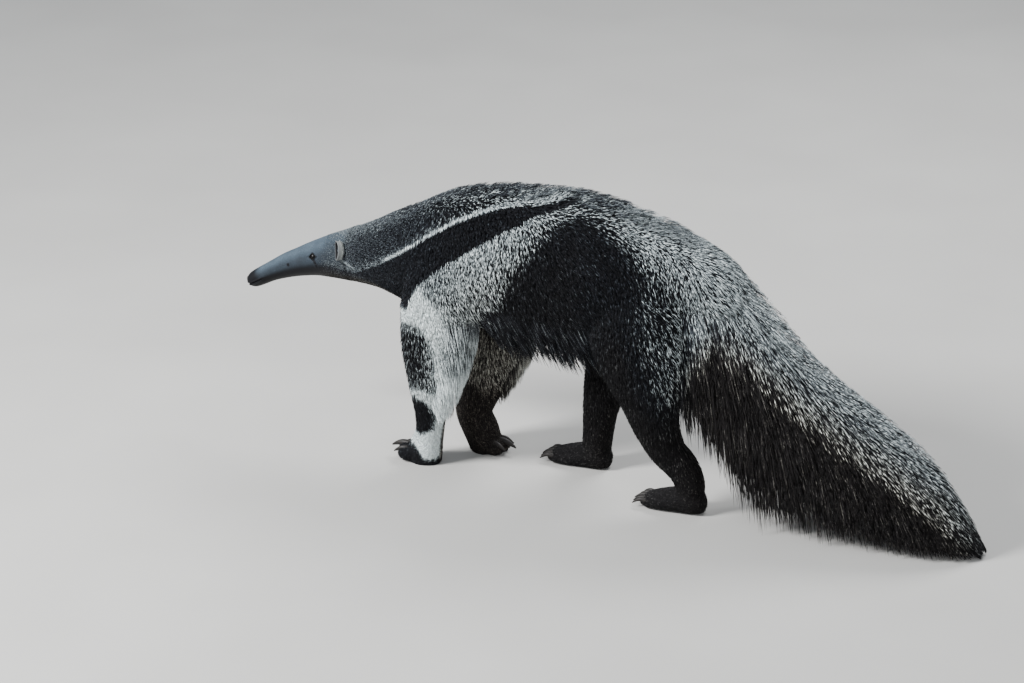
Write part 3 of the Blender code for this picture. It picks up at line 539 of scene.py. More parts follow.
def ear_shape(side):
    """The thin, rolled shell of one ear, open to the front, with its root in the head."""
    point, outward = head_side(EAR_X, EAR_RISE, side)
    facing = unit(np.array((EAR_FACING.x, side * EAR_FACING.y, EAR_FACING.z)))
    upright = np.array((EAR_UPRIGHT.x, side * EAR_UPRIGHT.y, EAR_UPRIGHT.z))
    across = unit(np.cross(upright, facing))
    upright = np.cross(facing, across)
    centre = np.array(point + outward * EAR_STAND)
    turns = np.linspace(0, 2 * math.pi, EAR_SIDES, endpoint=False)
    rows = []
    for size, forward in EAR_BACK + EAR_CUP:
        wide = EAR_HALF_WIDTH * size * np.cos(turns)
        tall = EAR_HALF_HEIGHT * size * np.sin(turns) * (1 - 0.1 * np.sin(turns))
        front = forward * EAR_HALF_DEPTH - 0.0022 * np.cos(turns) ** 2 * size * (forward > -0.5)
        rows.append(centre + across * wide[:, None] + upright * tall[:, None] + facing * front[:, None])
    return tube_shape(np.array(rows))


def make_skin_mesh():
    """Head and body bridged at the seam, with the ears as its last vertices."""
    shape = join_shapes([even_body(), head_shape()])
    rim = [edge for edge in shape.edges if len(edge.link_faces) == 1]
    bmesh.ops.bridge_loops(shape, edges=rim)
    bmesh.ops.triangulate(shape, faces=[face for face in shape.faces if len(face.verts) > 4])
    for side in SIDE_NAMES:
        shape.from_mesh(mesh_of(ear_shape(side), "ear"))
    bmesh.ops.recalc_face_normals(shape, faces=shape.faces)
    return mesh_of(shape, "skin")


# Markings.

# Outlines seen from the left side, as x, z.
STRIPE = (
    (-0.57, 0.434), (-0.505, 0.47), (-0.452, 0.503), (-0.403, 0.535), (-0.355, 0.571),
    (-0.31, 0.6), (-0.253, 0.631), (-0.193, 0.654), (-0.134, 0.667), (-0.079, 0.677), (-0.05, 0.686),
)
STRIPE_HALF = (
    (-0.57, 0.0045), (-0.5, 0.0072), (-0.44, 0.0056), (-0.35, 0.0046), (-0.25, 0.005), (-0.1, 0.006),
)
BAND_TOP = (
    (-0.43, 0.3), (-0.41, 0.37), (-0.394, 0.415), (-0.382, 0.44), (-0.362, 0.466), (-0.306, 0.515),
    (-0.231, 0.569), (-0.17, 0.61), (-0.099, 0.653), (-0.039, 0.676), (-0.01, 0.688),
)
FLANK = (
    (-0.23, 0.2), (-0.222, 0.3), (-0.208, 0.35), (-0.183, 0.406), (-0.154, 0.46), (-0.132, 0.507),
    (-0.107, 0.548), (-0.084, 0.58), (-0.065, 0.607), (-0.031, 0.651), (0.01, 0.663), (0.064, 0.645),
    (0.105, 0.62), (0.136, 0.588), (0.15, 0.543), (0.146, 0.5), (0.15, 0.45), (0.163, 0.39),
    (0.18, 0.33), (0.2, 0.26), (0.225, 0.19), (0.4, 0.1), (0.4, -0.1), (-0.23, -0.1),
)
CREAM_TOP = (
    (-0.45, 0.51), (-0.43, 0.49), (-0.36, 0.45), (-0.3, 0.4), (-0.25, 0.35), (-0.2, 0.3),
)
ARM_PATCH = (
    (-0.47, 0.34), (-0.405, 0.352), (-0.372, 0.352), (-0.348, 0.325), (-0.34, 0.285), (-0.35, 0.235),
    (-0.366, 0.205), (-0.47, 0.185),
)
WRIST_PATCH = (
    (-0.48, 0.158), (-0.4, 0.164), (-0.368, 0.158), (-0.356, 0.13), (-0.362, 0.098), (-0.388, 0.084),
    (-0.48, 0.094),
)
ARM_SPOT = (-0.358, 0.333)
# The x from which a leg counts as a hind one, by its height.
HIND_FROM = ((0.1, -0.19), (0.24, -0.1))
TAIL_BORDER = (
    (0.23, 0.3), (0.286, 0.396), (0.33, 0.44), (0.386, 0.42), (0.528, 0.325),
    (0.637, 0.266), (0.757, 0.197), (0.846, 0.137), (0.94, 0.02),
)


def inside_depth(outline, x, z):
    """How deep each point lies inside a closed outline, below zero outside."""
    corners = np.array(outline)
    inside = np.zeros(len(x), bool)
    nearest = np.full(len(x), 1e9)
    for (ax, az), (bx, bz) in zip(corners, np.roll(corners, -1, axis=0)):
        crosses = (az > z) != (bz > z)
        rise = bz - az if bz != az else 1e-9
        inside ^= crosses & (x < (bx - ax) * (z - az) / rise + ax)
        length = (bx - ax) ** 2 + (bz - az) ** 2
        part = np.clip(((x - ax) * (bx - ax) + (z - az) * (bz - az)) / length, 0, 1)
        nearest = np.minimum(nearest, np.hypot(x - ax - part * (bx - ax), z - az - part * (bz - az)))
    return np.where(inside, nearest, -nearest)


def leg_middle(legs, side, z):
    return read_rows(legs[side], 2, z, 0)[0]


def as_left(points):
    """X and z of each point with the right legs brought back under the left ones."""
    x, z = points[:, 0].copy(), points[:, 2]
    right = points[:, 1] > 0
    low = fade(0.5, 0.38, z)
    hind = x > value_at(HIND_FROM, z)
    hind_shift = leg_middle(HIND_LEGS, LEFT, z) - leg_middle(HIND_LEGS, RIGHT, z)
    fore_shift = leg_middle(FORELEGS, LEFT, z) - leg_middle(FORELEGS, RIGHT, z)
    shift = low * np.where(hind, hind_shift * fade(0.3, 0.22, x), fore_shift)
    return np.where(right, x + shift, x), z


def under_top(x, z):
    """How far each point lies under the line of the neck, back and tail."""
    middle, tall = read_rows(TRUNK, 0, x, 1, 2)
    return np.where(x > 0.26, value_at(TAIL_TOP, x), middle + tall) - z


def markings(points):
    """Share of pale hair, 0 to 1, and warmth of its colour at each point of the coat."""
    x, z = as_left(points)
    side = points[:, 1]
    pale, warm = trunk_markings(x, z)
    pale, warm = foreleg_markings(pale, warm, x, z, side)
    pale, warm = hind_markings(pale, warm, x, z, side)

    throat = fade(-0.56, -0.6, x) * fade(0.444, 0.425, z)
    pale = toward(pale, 0.02, throat)
    ear_streak = fade(0.006, 0.0015, np.abs(z - 0.4525 + 0.45 * (x + 0.59)))
    ear_streak *= fade(0.026, 0.012, np.abs(x + 0.59))
    pale = toward(pale, 0.85, ear_streak)
    over_border = z - value_at(TAIL_BORDER, x)
    tail = fade(0.22, 0.3, x) * (z > 0.0)
    tail_pale = 0.05 + 0.5 * fade(-0.085, 0.0, over_border)
    tail_pale += 0.15 * fade(0.0, 0.06, over_border)
    pale = toward(pale, tail_pale * fade(0.98, 0.82, x), tail)
    warm = toward(warm, 0.6, tail * fade(0.04, -0.06, over_border))
    return np.clip(pale, 0, 1), np.clip(warm, 0, 1)


def trunk_markings(x, z):
    """Grizzled neck and back, white stripe, black wedge, grizzled shoulder and dark flank."""
    below = under_top(x, z)
    to_band = z - value_at(BAND_TOP, x)
    to_stripe = z - value_at(STRIPE, x)
    in_flank = inside_depth(FLANK, x, z)
    back = 0.19 + (0.28 + 0.16 * fade(-0.05, 0.1, x)) * fade(0.11, 0.03, below)
    neck = 0.19 + 0.14 * fade(0.026, 0.006, to_stripe) + 0.18 * fade(0.026, 0.002, below)
    neck += 0.12 * fade(-0.28, -0.16, x)
    pale = toward(back, neck, fade(0.02, -0.14, x))

    band = 0.5 + 0.14 * fade(0.0, -0.1, in_flank) + 0.12 * fade(-0.045, 0.0, to_band)
    in_band = fade(0.003, -0.003, to_band) * fade(0.06, 0.0, x)
    pale = toward(pale, band, in_band)
    warm = 0.05 + in_band * 0.15 * fade(-0.02, -0.15, to_band)

    wedge = fade(-0.003, 0.003, to_band) * fade(0.002, -0.002, to_stripe)
    pale = pale * (1 - wedge * fade(0.0, -0.05, x))
    rise = to_stripe / value_at(STRIPE_HALF, x)
    stripe = fade(-0.6, 0.0, rise) * fade(2.4, 0.9, rise)
    stripe *= fade(-0.575, -0.45, x) * fade(-0.03, -0.07, x)
    pale = toward(pale, 0.9, stripe * (1 - 0.55 * fade(-0.24, -0.1, x)))

    pale = toward(pale, 0.04, fade(-0.05, 0.026, in_flank))
    brown = fade(-0.01, 0.04, in_flank) * fade(0.02, 0.12, x)
    return pale, warm + 0.3 * brown * fade(0.5, 0.36, z)


def foreleg_markings(pale, warm, x, z, side):
    """Cream forelegs with a grey patch on the arm and a black one over the wrist, brown on the inner side."""
    limb = fade(-0.16, -0.22, x) * fade(0.2, 0.12, x)
    behind = x - leg_middle(FORELEGS, LEFT, z)
    away = np.abs(side)
    cream = fade(0.042, -0.036, z - value_at(CREAM_TOP, x))
    cream *= fade(-0.44, -0.42, x + 0.2 * (z < 0.35)) * limb
    cream *= 1 - fade(-0.004, 0.008, z - value_at(BAND_TOP, x)) * fade(0.385, 0.41, z)
    rear = fade(0.01, 0.07, behind) * fade(0.2, 0.32, z)
    # Painted shade: the right foreleg lies in the body's shadow, so its cream is made darker and browner.
    right_arm_painted_shade = (side > 0) * fade(0.11, 0.085, side)
    pale = toward(pale, 0.97 - 0.22 * rear - 0.24 * right_arm_painted_shade, cream)
    warm = toward(warm, 0.12 + 0.43 * right_arm_painted_shade, cream)

    outer = fade(0.035, 0.055, away)
    patch = fade(-0.022, 0.026, inside_depth(ARM_PATCH, x, z)) * outer
    pale = toward(pale, 0.24, patch * limb)
    streaks = fade(0.03, 0.0, np.hypot((x + 0.347) * 1.5, (z - 0.215) * 0.8)) * outer
    pale = toward(pale, 0.5, streaks * limb)
    spot = fade(0.01, 0.005, np.hypot(x - ARM_SPOT[0], z - ARM_SPOT[1])) * outer
    pale = toward(pale, 0.0, spot)

    inner = fade(0.07, 0.046, away - 0.022 * (side > 0)) * limb
    inner_arm = inner * fade(0.44, 0.4, z) * fade(0.09, 0.05, behind)
    pale = toward(pale, 0.38, inner_arm)
    warm = toward(warm, 0.65, inner_arm)
    wrist = fade(-0.012, 0.006, inside_depth(WRIST_PATCH, x, z)) * limb
    pale = pale * (1 - wrist)
    hand = fade(0.18, 0.13, z) * inner
    pale = toward(pale, 0.1, hand)
    warm = toward(warm, 0.75, hand)
    ripple = 0.004 * np.sin(x * 260) * np.cos(side * 330)
    sole = 0.01 + 0.034 * fade(-0.378, -0.412, x)
    pale = toward(pale, 0.02, fade(sole + 0.012, sole - 0.006, z + ripple) * limb)
    chest = fade(-0.3, -0.34, x) * (z > 0.3) * fade(0.045, 0.028, away) * (z < 0.44)
    return pale * (1 - chest), warm


def hind_markings(pale, warm, x, z, side):
    """The grizzle of the thigh fades to black-brown on the shank, foot and inner side."""
    limb = fade(-0.08, 0.0, x) * fade(0.33, 0.3, x)
    inner = fade(0.062, 0.044, np.abs(side)) * fade(0.4, 0.34, z)
    dark = np.maximum(fade(0.3, 0.15, z), inner) * limb
    return toward(pale, 0.05, dark), toward(warm, 0.45, dark)


# Lie and form of the coat.

# The line of the tail's top and of its hem, as x, z, and its half width by x.
TAIL_TOP = (
    (0.25, 0.622), (0.323, 0.583), (0.389, 0.545), (0.445, 0.492), (0.492, 0.438), (0.539, 0.391),
    (0.593, 0.352), (0.66, 0.312), (0.726, 0.271), (0.792, 0.224), (0.846, 0.167), (0.894, 0.096),
    (0.94, 0.012),
)
TAIL_HEM = ((0.26, 0.176), (0.3, 0.156), (0.34, 0.115), (0.37, 0.075), (0.4, 0.03), (0.44, 0.0))
TAIL_HALF_WIDTH = ((0.26, 0.09), (0.45, 0.108), (0.65, 0.116), (0.82, 0.092), (0.9, 0.055), (0.94, 0.015))


def along_skin(ways, normals):
    """Ways laid flat on the skin."""
    return unit(ways - normals * (ways * normals).sum(axis=1, keepdims=True))


def lie(points, normals):
    """The way the hair points at each place, along the skin."""
    x, y, z = points.T
    wide = np.abs(normals[:, 1])
    slope = 0.1 + 0.75 * wide
    slope -= fade(-0.4, -0.5, x) * (0.42 + 0.5 * wide)
    shoulder = fade(-0.47, -0.38, x) * fade(-0.02, -0.17, x)
    hip = fade(0.05, 0.15, x) * fade(0.34, 0.25, x)
    slope += wide * (1.4 * shoulder + 1.3 * hip)
    slope = toward(slope, 0.75, fade(0.24, 0.34, x) * (z > 0.2))
    leg = fade(0.44, 0.3, z) * fade(-0.46, -0.43, x) * fade(0.33, 0.29, x)
    foot = fade(0.085, 0.05, z) * (x < 0.34)
    toes = np.where((y > 0) & (x < -0.17), 0.7, -0.8)
    way_x = toward(toward(np.ones(len(points)), 0.2, leg), toes, foot)
    way_z = toward(toward(-slope, -1.0, leg), -0.45, foot)
    return along_skin(np.stack((way_x, 0 * x, way_z), axis=1), normals)


# Length of the hair by height on the body, and by x on the head and the root of the tail.
BODY_HAIR = (
    (0.0, 0.0065), (0.06, 0.008), (0.1, 0.012), (0.17, 0.018), (0.26, 0.0205), (0.36, 0.022), (0.68, 0.0205),
)
HEAD_HAIR = ((-0.68, 0.0034), (-0.61, 0.0058), (-0.56, 0.0095), (-0.43, 0.016), (-0.4, 0.0205))
TAIL_ROOT_HAIR = ((0.24, 0.022), (0.3, 0.03), (0.42, 0.04))
# The share of a tuft's own area that it covers, for the count of tufts.
HAIR_SHOWING = 0.36
# Width of a tuft: the least, its growth with the length, and the most.
HAIR_THIN, HAIR_SPREAD, HAIR_WIDE = 0.0005, 0.046, 0.00148
# How far along a tuft is widest, how deep its root sits in the skin, and the room it leaves over the floor.
HAIR_BULGE, ROOT_SUNK, FLOOR_ROOM = 0.58, 0.0012, 0.001
# The size of the patches of skin that each get pale and dark tufts in their full share.
GRAIN_CELL = 0.006
# A step that spreads numbers evenly between 0 and 1.
GOLDEN_SHARE = 0.6180339887


def coat_depth(points):
    """How far the tips of flat-lying hair stand off the skin."""
    x, z = points[:, 0], points[:, 2]
    trunk, leg = value_at(TRUNK_COAT, x), value_at(LEG_COAT, z)
    return np.where((z < 0.42) & (x > -0.46) & (x < 0.34), leg, trunk)


def coat_length(points):
    """Length of the hair: short on head and feet, longest on the flanks and the root of the tail."""
    x, z = points[:, 0], points[:, 2]
    length = value_at(BODY_HAIR, z)
    neck = (x < -0.4) & (z > 0.36)
    length = np.where(neck, value_at(HEAD_HAIR, x), length)
    tail = fade(0.24, 0.3, x) * fade(0.3, 0.36, z)
    return toward(length, value_at(TAIL_ROOT_HAIR, x), tail)


def hair_width(length):
    return np.minimum(HAIR_THIN + HAIR_SPREAD * length, HAIR_WIDE)


def coat_density(points):
    """Tufts for each square metre, most on the trunk, fewer on head and feet and none on the muzzle."""
    x, z = points[:, 0], points[:, 2]
    length = coat_length(points)
    cover = 1.54 - 0.66 * fade(-0.46, -0.6, x) - 0.42 * fade(0.42, 0.28, z)
    cover -= 0.3 * fade(0.18, 0.08, z)
    cover *= fade(-0.69, -0.6, x) * fade(0.46, 0.38, x) * (z > 0.006)
    return cover / (hair_width(length) * length * HAIR_SHOWING)


def waves(points, *rates):
    """A smooth, uneven value between -1 and 1 over space."""
    ways = np.array(((1, 0.6, 0.3), (-0.4, 1, 0.7), (0.5, -0.7, 1)))
    return sum(np.sin(points @ ways[i % 3] * rate + i) for i, rate in enumerate(rates)) / len(rates)


def even_draw(points, draw):
    """Numbers from 0 to 1, one for each point, so that each small patch of points gets all sizes of them."""
    cells = np.floor(points / GRAIN_CELL).astype(int)
    order = np.lexsort((draw.random(len(points)), cells[:, 1], cells[:, 2], cells[:, 0]))
    values = np.empty(len(points))
    values[order] = (np.arange(len(points)) * GOLDEN_SHARE) % 1
    return values


def ticked(points, pale, calm, dull, draw):
    """Tones at root, middle and tip of each tuft. The marking gives the share of tufts that are pale.

    calm, 0 to 1, brings pale and dark hair together. dull takes some of the light out of the pale hair."""
    count = len(pale)
    light = even_draw(points, draw) < pale
    white = fade(0.78, 0.95, pale)
    bright = 0.32 + 0.68 * fade(0.04, 0.3, pale)
    glow = bright * draw.uniform(0.56, 1.02, count) * (1 - 0.46 * dull * (1 - white))
    middle = np.where(light, glow, 0.01 + 0.2 * draw.random(count) ** 2.5)
    middle = toward(middle, draw.uniform(0.84, 1.0, count), white)
    even = 0.14 + 0.06 * fade(-0.42, -0.55, points[:, 0]) + 0.42 * pale + 0.25 * middle
    middle = toward(middle, even, calm)
    dark_tip = (draw.random(count) < 0.3) * (1 - white) * (1 - calm)
    tip = middle * toward(draw.uniform(0.8, 1.15, count), 0.25, dark_tip)
    root = middle * toward(0.15 + 0.75 * white, 0.9, calm)
    return np.clip(np.stack((root, middle, tip), axis=1), 0, 1)


def off_floor(paths):
    """Lifts what would lie in the floor."""
    paths[..., 2] = np.maximum(paths[..., 2], FLOOR_ROOM)
    return paths


def coat_paths(points, normals, draw):
    """Root, widest place and tip of a tuft at each point. It leaves the skin at a low angle."""
    count = len(points)
    angle = 0.16 * waves(points, 31, 47, 73) + draw.normal(0, 0.17, count)
    ways = turned(lie(points, normals), normals, angle)
    lengths = coat_length(points) * draw.uniform(0.7, 1.25, count)
    rise = coat_depth(points) * draw.uniform(0.5, 1.05, count)
    tips = points + ways * lengths[:, None] + normals * rise[:, None]
    roots = points - normals * ROOT_SUNK
    middles = roots + (tips - roots) * HAIR_BULGE + normals * (0.0004 + 0.12 * rise)[:, None]
    return off_floor(np.stack((roots, middles, tips), axis=1)), lengths


def make_coat(surface, material):
    """Short hair over the whole body, in one piece for each region and side."""
    draw = np.random.default_rng(SEED)
    points, normals = surface.roots(draw, coat_density)
    paths, lengths = coat_paths(points, normals, draw)
    pale, warm = markings(toward(paths[:, 1], paths[:, 2], 0.65))
    x, z = points[:, 0], points[:, 2]
    calm = 0.55 * fade(-0.24, -0.42, x) * (z > 0.36) + 0.45 * fade(-0.54, -0.62, x)
    brown = 0.65 * fade(0.35, 0.6, warm) * (x < -0.15)
    calm = np.maximum(calm, brown) * fade(0.8, 0.6, pale)
    dull = fade(-0.28, -0.44, x)
    tones = ticked(points, pale + 0.03 * waves(points, 60, 95, 140), calm, dull, draw)
    warms = np.repeat(warm[:, None], 3, axis=1)
    widths = hair_width(lengths) * draw.uniform(0.8, 1.2, len(points))
    facing = unit(normals + draw.normal(0, 0.22, points.shape))
    for name, chosen, patches in coat_regions(points):
        picked = np.flatnonzero(chosen)
        own = (values[picked] for values in (paths, facing, widths, tones, warms, patches))
        show(name, blade_mesh(name, *own), material, region_slot(name))


# Tufts as joined meshes.

PATCH = 0.003
LOCK_RIDGE = 0.45
LOCK_TAPER = ((0.0, 0.55), (0.35, 1.0), (0.65, 0.92), (0.85, 0.6), (1.0, 0.0))


def joined_mesh(name, points, faces, sides, along, values, patches):
    """Copies of one shape as one mesh, each copy with its own points.

    points: copy, point, xyz. faces: triangles or quads of one copy. sides and along: the place of each
    point across and along its copy, from 0 to 1. values: attributes of the points. patches: the place of
    each root on an unwrap of the skin, from 0 to 1."""
    count, per = points.shape[:2]
    start = (np.arange(count) * per)[:, None]
    index = (start + np.concatenate(faces)[None]).ravel()
    sizes = np.tile([len(face) for face in faces], count)
    mesh = bpy.data.meshes.new(name)
    mesh.vertices.add(count * per)
    mesh.vertices.foreach_set("co", points.astype(np.float32).ravel())
    mesh.loops.add(len(index))
    mesh.loops.foreach_set("vertex_index", index.astype(np.int32))
    mesh.polygons.add(len(sizes))
    mesh.polygons.foreach_set("loop_start", (np.cumsum(sizes) - sizes).astype(np.int32))
    mesh.update(calc_edges=True)
    for attribute, value in values.items():
        add_values(mesh, attribute, value.ravel())
    spot = PATCH * (np.stack((sides, along), axis=1) - 0.5)
    place = (patches[:, None] + spot[None]).reshape(-1, 2)
    corners = mesh.uv_layers.new(name="OFBake")
    corners.data.foreach_set("uv", place[index].astype(np.float32).ravel())
    return mesh


def blade_mesh(name, paths, facing, widths, tones, warms, patches):
    """Short hair: flat solid blades with points at root and tip, widest past their middle."""
    root, middle, tip = paths[:, 0], paths[:, 1], paths[:, 2]
    across = unit(np.cross(tip - root, facing)) * (widths / 2)[:, None]
    points = np.stack((root, middle - across, middle + across, tip), axis=1)
    order = (0, 1, 1, 2)
    along = np.array((0.0, HAIR_BULGE, HAIR_BULGE, 1.0))
    faces = [(0, 2, 1), (1, 2, 3), (0, 1, 3), (0, 3, 2)]
    values = {"tone": tones[:, order], "warm": warms[:, order], "along": np.tile(along, (len(root), 1))}
    return joined_mesh(name, points, faces, np.array((0.5, 0, 1, 0.5)), along, values, patches)


def lock_mesh(name, paths, facing, widths, tones, warms, patches):
    """Long hair: solid locks with a flat underside and a ridge, pointed at the root and at the tip."""
    count, places = paths.shape[:2]
    rings = places - 2
    part = np.linspace(0, 1, places)
    forward = unit(np.gradient(paths, axis=1))[:, 1:-1]
    across = unit(np.cross(forward, facing[:, None, :]))
    over = np.cross(across, forward)
    half = (widths[:, None] / 2 * value_at(LOCK_TAPER, part[1:-1]))[..., None]
    body = paths[:, 1:-1]
    ring = np.stack((body - across * half, body + across * half, body + over * half * 2 * LOCK_RIDGE), axis=2)
    points = np.concatenate((paths[:, :1], ring.reshape(count, rings * 3, 3), paths[:, -1:]), axis=1)
    order = np.concatenate(((0,), np.repeat(np.arange(1, rings + 1), 3), (places - 1,)))
    sides = np.concatenate(((0.5,), np.tile((0.0, 1.0, 0.5), rings), (0.5,)))
    tip, last = rings * 3 + 1, rings * 3 - 2
    faces = []
    for near, far in ((0, 1), (1, 2), (2, 0)):
        faces.append((0, 1 + near, 1 + far))
        for low in range(1, last, 3):
            faces.append((low + far, low + near, low + 3 + near, low + 3 + far))
        faces.append((last + far, last + near, tip))
    values = {"tone": tones[:, order], "warm": warms[:, order], "along": np.tile(part[order], (count, 1))}
    return joined_mesh(name, points, faces, sides, part[order], values, patches)


def vertex_values(mesh, kind):
    """The places or the normals of a mesh's vertices."""
    values = np.empty(len(mesh.vertices) * 3)
    mesh.vertices.foreach_get(kind, values)
    return values.reshape(-1, 3)


class Surface:
    """Triangles of a mesh between its chosen vertices, for drawing random roots on them."""

    def __init__(self, mesh, chosen):
        mesh.calc_loop_triangles()
        corners = np.empty(len(mesh.loop_triangles) * 3, np.int32)
        mesh.loop_triangles.foreach_get("vertices", corners)
        corners = corners.reshape(-1, 3)
        corners = corners[chosen[corners].all(axis=1)]
        self.triangles = vertex_values(mesh, "co")[corners]
        self.normals = vertex_values(mesh, "normal")[corners]
        edges = self.triangles[:, 1:] - self.triangles[:, :1]
        self.areas = np.linalg.norm(np.cross(edges[:, 0], edges[:, 1]), axis=1) / 2
        self.middles = self.triangles.mean(axis=1)

    def roots(self, draw, density):
        """Random points with their normals. density gives the number for each square metre at points."""
        expected = self.areas * density(self.middles)
        count = int(expected.sum())
        chosen = draw.choice(len(expected), count, p=expected / expected.sum())
        first, second = draw.random(count), draw.random(count)
        over = first + second > 1
        first[over], second[over] = 1 - first[over], 1 - second[over]
        weights = np.stack((1 - first - second, first, second), axis=1)[..., None]
        points = (self.triangles[chosen] * weights).sum(axis=1)
        return points, unit((self.normals[chosen] * weights).sum(axis=1))


def turned(ways, normals, angle):
    """Directions turned about the normals."""
    sideways = np.cross(normals, ways)
    return ways * np.cos(angle)[:, None] + sideways * np.sin(angle)[:, None]


EAR_HAIR, EAR_HAIR_WIDTH, EAR_HAIR_DENSITY = 0.0045, 0.0009, 900000.0


def make_ear_hair(surface, material):
    """Short pale hair on the back and rim of the ears, pointing up to the rim."""
    draw = np.random.default_rng(SEED + 20)
    points, normals = surface.roots(draw, lambda middles: np.full(len(middles), EAR_HAIR_DENSITY))
    count = len(points)
    upright = np.stack((np.full(count, 0.2), 0.4 * np.sign(points[:, 1]), np.ones(count)), axis=1)
    ways = turned(along_skin(upright, normals), normals, draw.normal(0, 0.25, count))
    lengths = EAR_HAIR * draw.uniform(0.7, 1.2, count)
    tips = points + ways * lengths[:, None] + normals * (0.0012 * draw.uniform(0.5, 1.2, count))[:, None]
    roots = points - normals * 0.0004
    paths = np.stack((roots, roots + (tips - roots) * HAIR_BULGE + normals * 0.0002, tips), axis=1)
    tones = draw.uniform(0.55, 0.85, (count, 1)) * np.array((0.6, 0.9, 1.0))
    looks = (normals, np.full(count, EAR_HAIR_WIDTH), tones, np.full((count, 3), 0.3))
    for side, side_name in SIDE_NAMES.items():
        picked = np.flatnonzero(points[:, 1] * side > 0)
        point, _ = head_side(EAR_X, EAR_RISE, side)
        away = (points[picked] - np.array(point))[:, ::2] / 0.07
        name = f"ear_hair_{side_name}"
        own = (values[picked] for values in (paths, *looks))
        show(name, blade_mesh(name, *own, 0.5 + away), material, "pale_coat")


COAT_CUTS = (-0.72, -0.52, -0.4, -0.29, -0.19, -0.09, 0.02, 0.12, 0.22, 0.31, 0.47)
COAT_NAMES = ("head", "neck", "chest", "shoulder", "ribs", "flank", "loin", "haunch", "rump", "tail_root")
LEG_COAT_TOP = 0.36


def inset(place):
    """Places on an unwrap kept clear of its edges."""
    return 0.01 + 0.98 * place


def coat_regions(points):
    """Splits the coat into pieces, each with the unwrap of its own stretch of skin."""
    x, y, z = points.T
    turn = np.abs(np.arctan2(y, z - read_rows(TRUNK, 0, x, 1)[0])) / math.pi
    on_leg = z < LEG_COAT_TOP
    fore = on_leg & (x > -0.47) & (x < -0.13)
    hind = on_leg & (x >= -0.13) & (x < 0.32)
    regions = []
    for side, side_name in SIDE_NAMES.items():
        own_side = (y >= 0) == (side > 0)
        for name, chosen, legs in (("foreleg", fore, FORELEGS), ("hindleg", hind, HIND_LEGS)):
            mid_x, mid_y = read_rows(legs[side], 2, z, 0, 1)
            round_leg = np.arctan2(y - mid_y, x - mid_x) / (2 * math.pi) + 0.5
            place = np.stack((round_leg, np.clip(z / LEG_COAT_TOP, 0, 1)), axis=1)
            regions.append((f"coat_{name}_{side_name}", chosen & own_side, inset(place)))
        for name, start, end in zip(COAT_NAMES, COAT_CUTS, COAT_CUTS[1:]):
            chosen = ~(fore | hind) & own_side & (x >= start) & (x < end)
            place = np.stack(((x - start) / (end - start), turn), axis=1)
            regions.append((f"coat_{name}_{side_name}", chosen, inset(place)))
    return [region for region in regions if region[1].any()]


def region_slot(name):
    if "foreleg" in name:
        return "pale_coat"
    if "tail" in name:
        return "tail_coat"
    return "dark_coat" if "hindleg" in name else "grizzled_coat"


# Materials.


class Shade:
    """A socket of a shader tree, with operators that add the nodes for them."""

    def __init__(self, tree, socket):
        self.tree = tree
        self.socket = socket

    def node(self, kind, settings=None, output=0, **values):
        """Any other node: its type, its settings, and the values or links of its sockets.

        A socket is named, with _ for a space, or numbered as in0."""
        made = self.tree.nodes.new(kind)
        for key, value in (settings or {}).items():
            if key == "stops":
                set_stops(made.color_ramp, value)
            else:
                setattr(made, key, value)
        for key, value in values.items():
            numbered = key.startswith("in") and key[2:].isdigit()
            target = made.inputs[int(key[2:]) if numbered else key.replace("_", " ")]
            if isinstance(value, Shade):
                self.tree.links.new(value.socket, target)
            else:
                target.default_value = value
        return Shade(self.tree, made.outputs[output])

    def math(self, operation, first, second=0.0):
        return self.node("ShaderNodeMath", {"operation": operation}, in0=first, in1=second)

    def __add__(self, other):
        return self.math("ADD", self, other)

    def __radd__(self, other):
        return self.math("ADD", other, self)

    def __sub__(self, other):
        return self.math("SUBTRACT", self, other)

    def __rsub__(self, other):
        return self.math("SUBTRACT", other, self)

    def __mul__(self, other):
        return self.math("MULTIPLY", self, other)

    def __rmul__(self, other):
        return self.math("MULTIPLY", other, self)


def set_stops(scale, stops):
    """Gives a colour ramp its places and colours."""
    while len(scale.elements) < len(stops):
        scale.elements.new(1.0)
    for element, (place, colour) in zip(scale.elements, stops):
        element.position = place
        element.color = (*colour, 1)


def new_material(name, **fixed):
    """A material, its shader node and a Shade to start from."""
    material = bpy.data.materials.new(name)
    material.use_nodes = True
    tree = material.node_tree
    shader = tree.nodes["Principled BSDF"]
    for key, value in fixed.items():
        shader.inputs[key.replace("_", " ")].default_value = value
    return material, shader, Shade(tree, None)


def feed(shader, name, shade):
    shade.tree.links.new(shade.socket, shader.inputs[name])


def carried(start, name):
    """A value that the mesh carries."""
    return start.node("ShaderNodeAttribute", {"attribute_name": name}, output=2)


def noise(start, scale, detail, roughness=0.5):
    """Uneven grain over the object's own coordinates."""
    place = start.node("ShaderNodeTexCoord", output=3)
    return start.node("ShaderNodeTexNoise", Vector=place, Scale=scale, Detail=detail, Roughness=roughness)


def ramp(start, stops, tone):
    return start.node("ShaderNodeValToRGB", {"stops": stops}, Fac=tone)


def mixed(start, share, first, second):
    return start.node("ShaderNodeMix", {"data_type": "RGBA"}, output=2, in0=share, in6=first, in7=second)
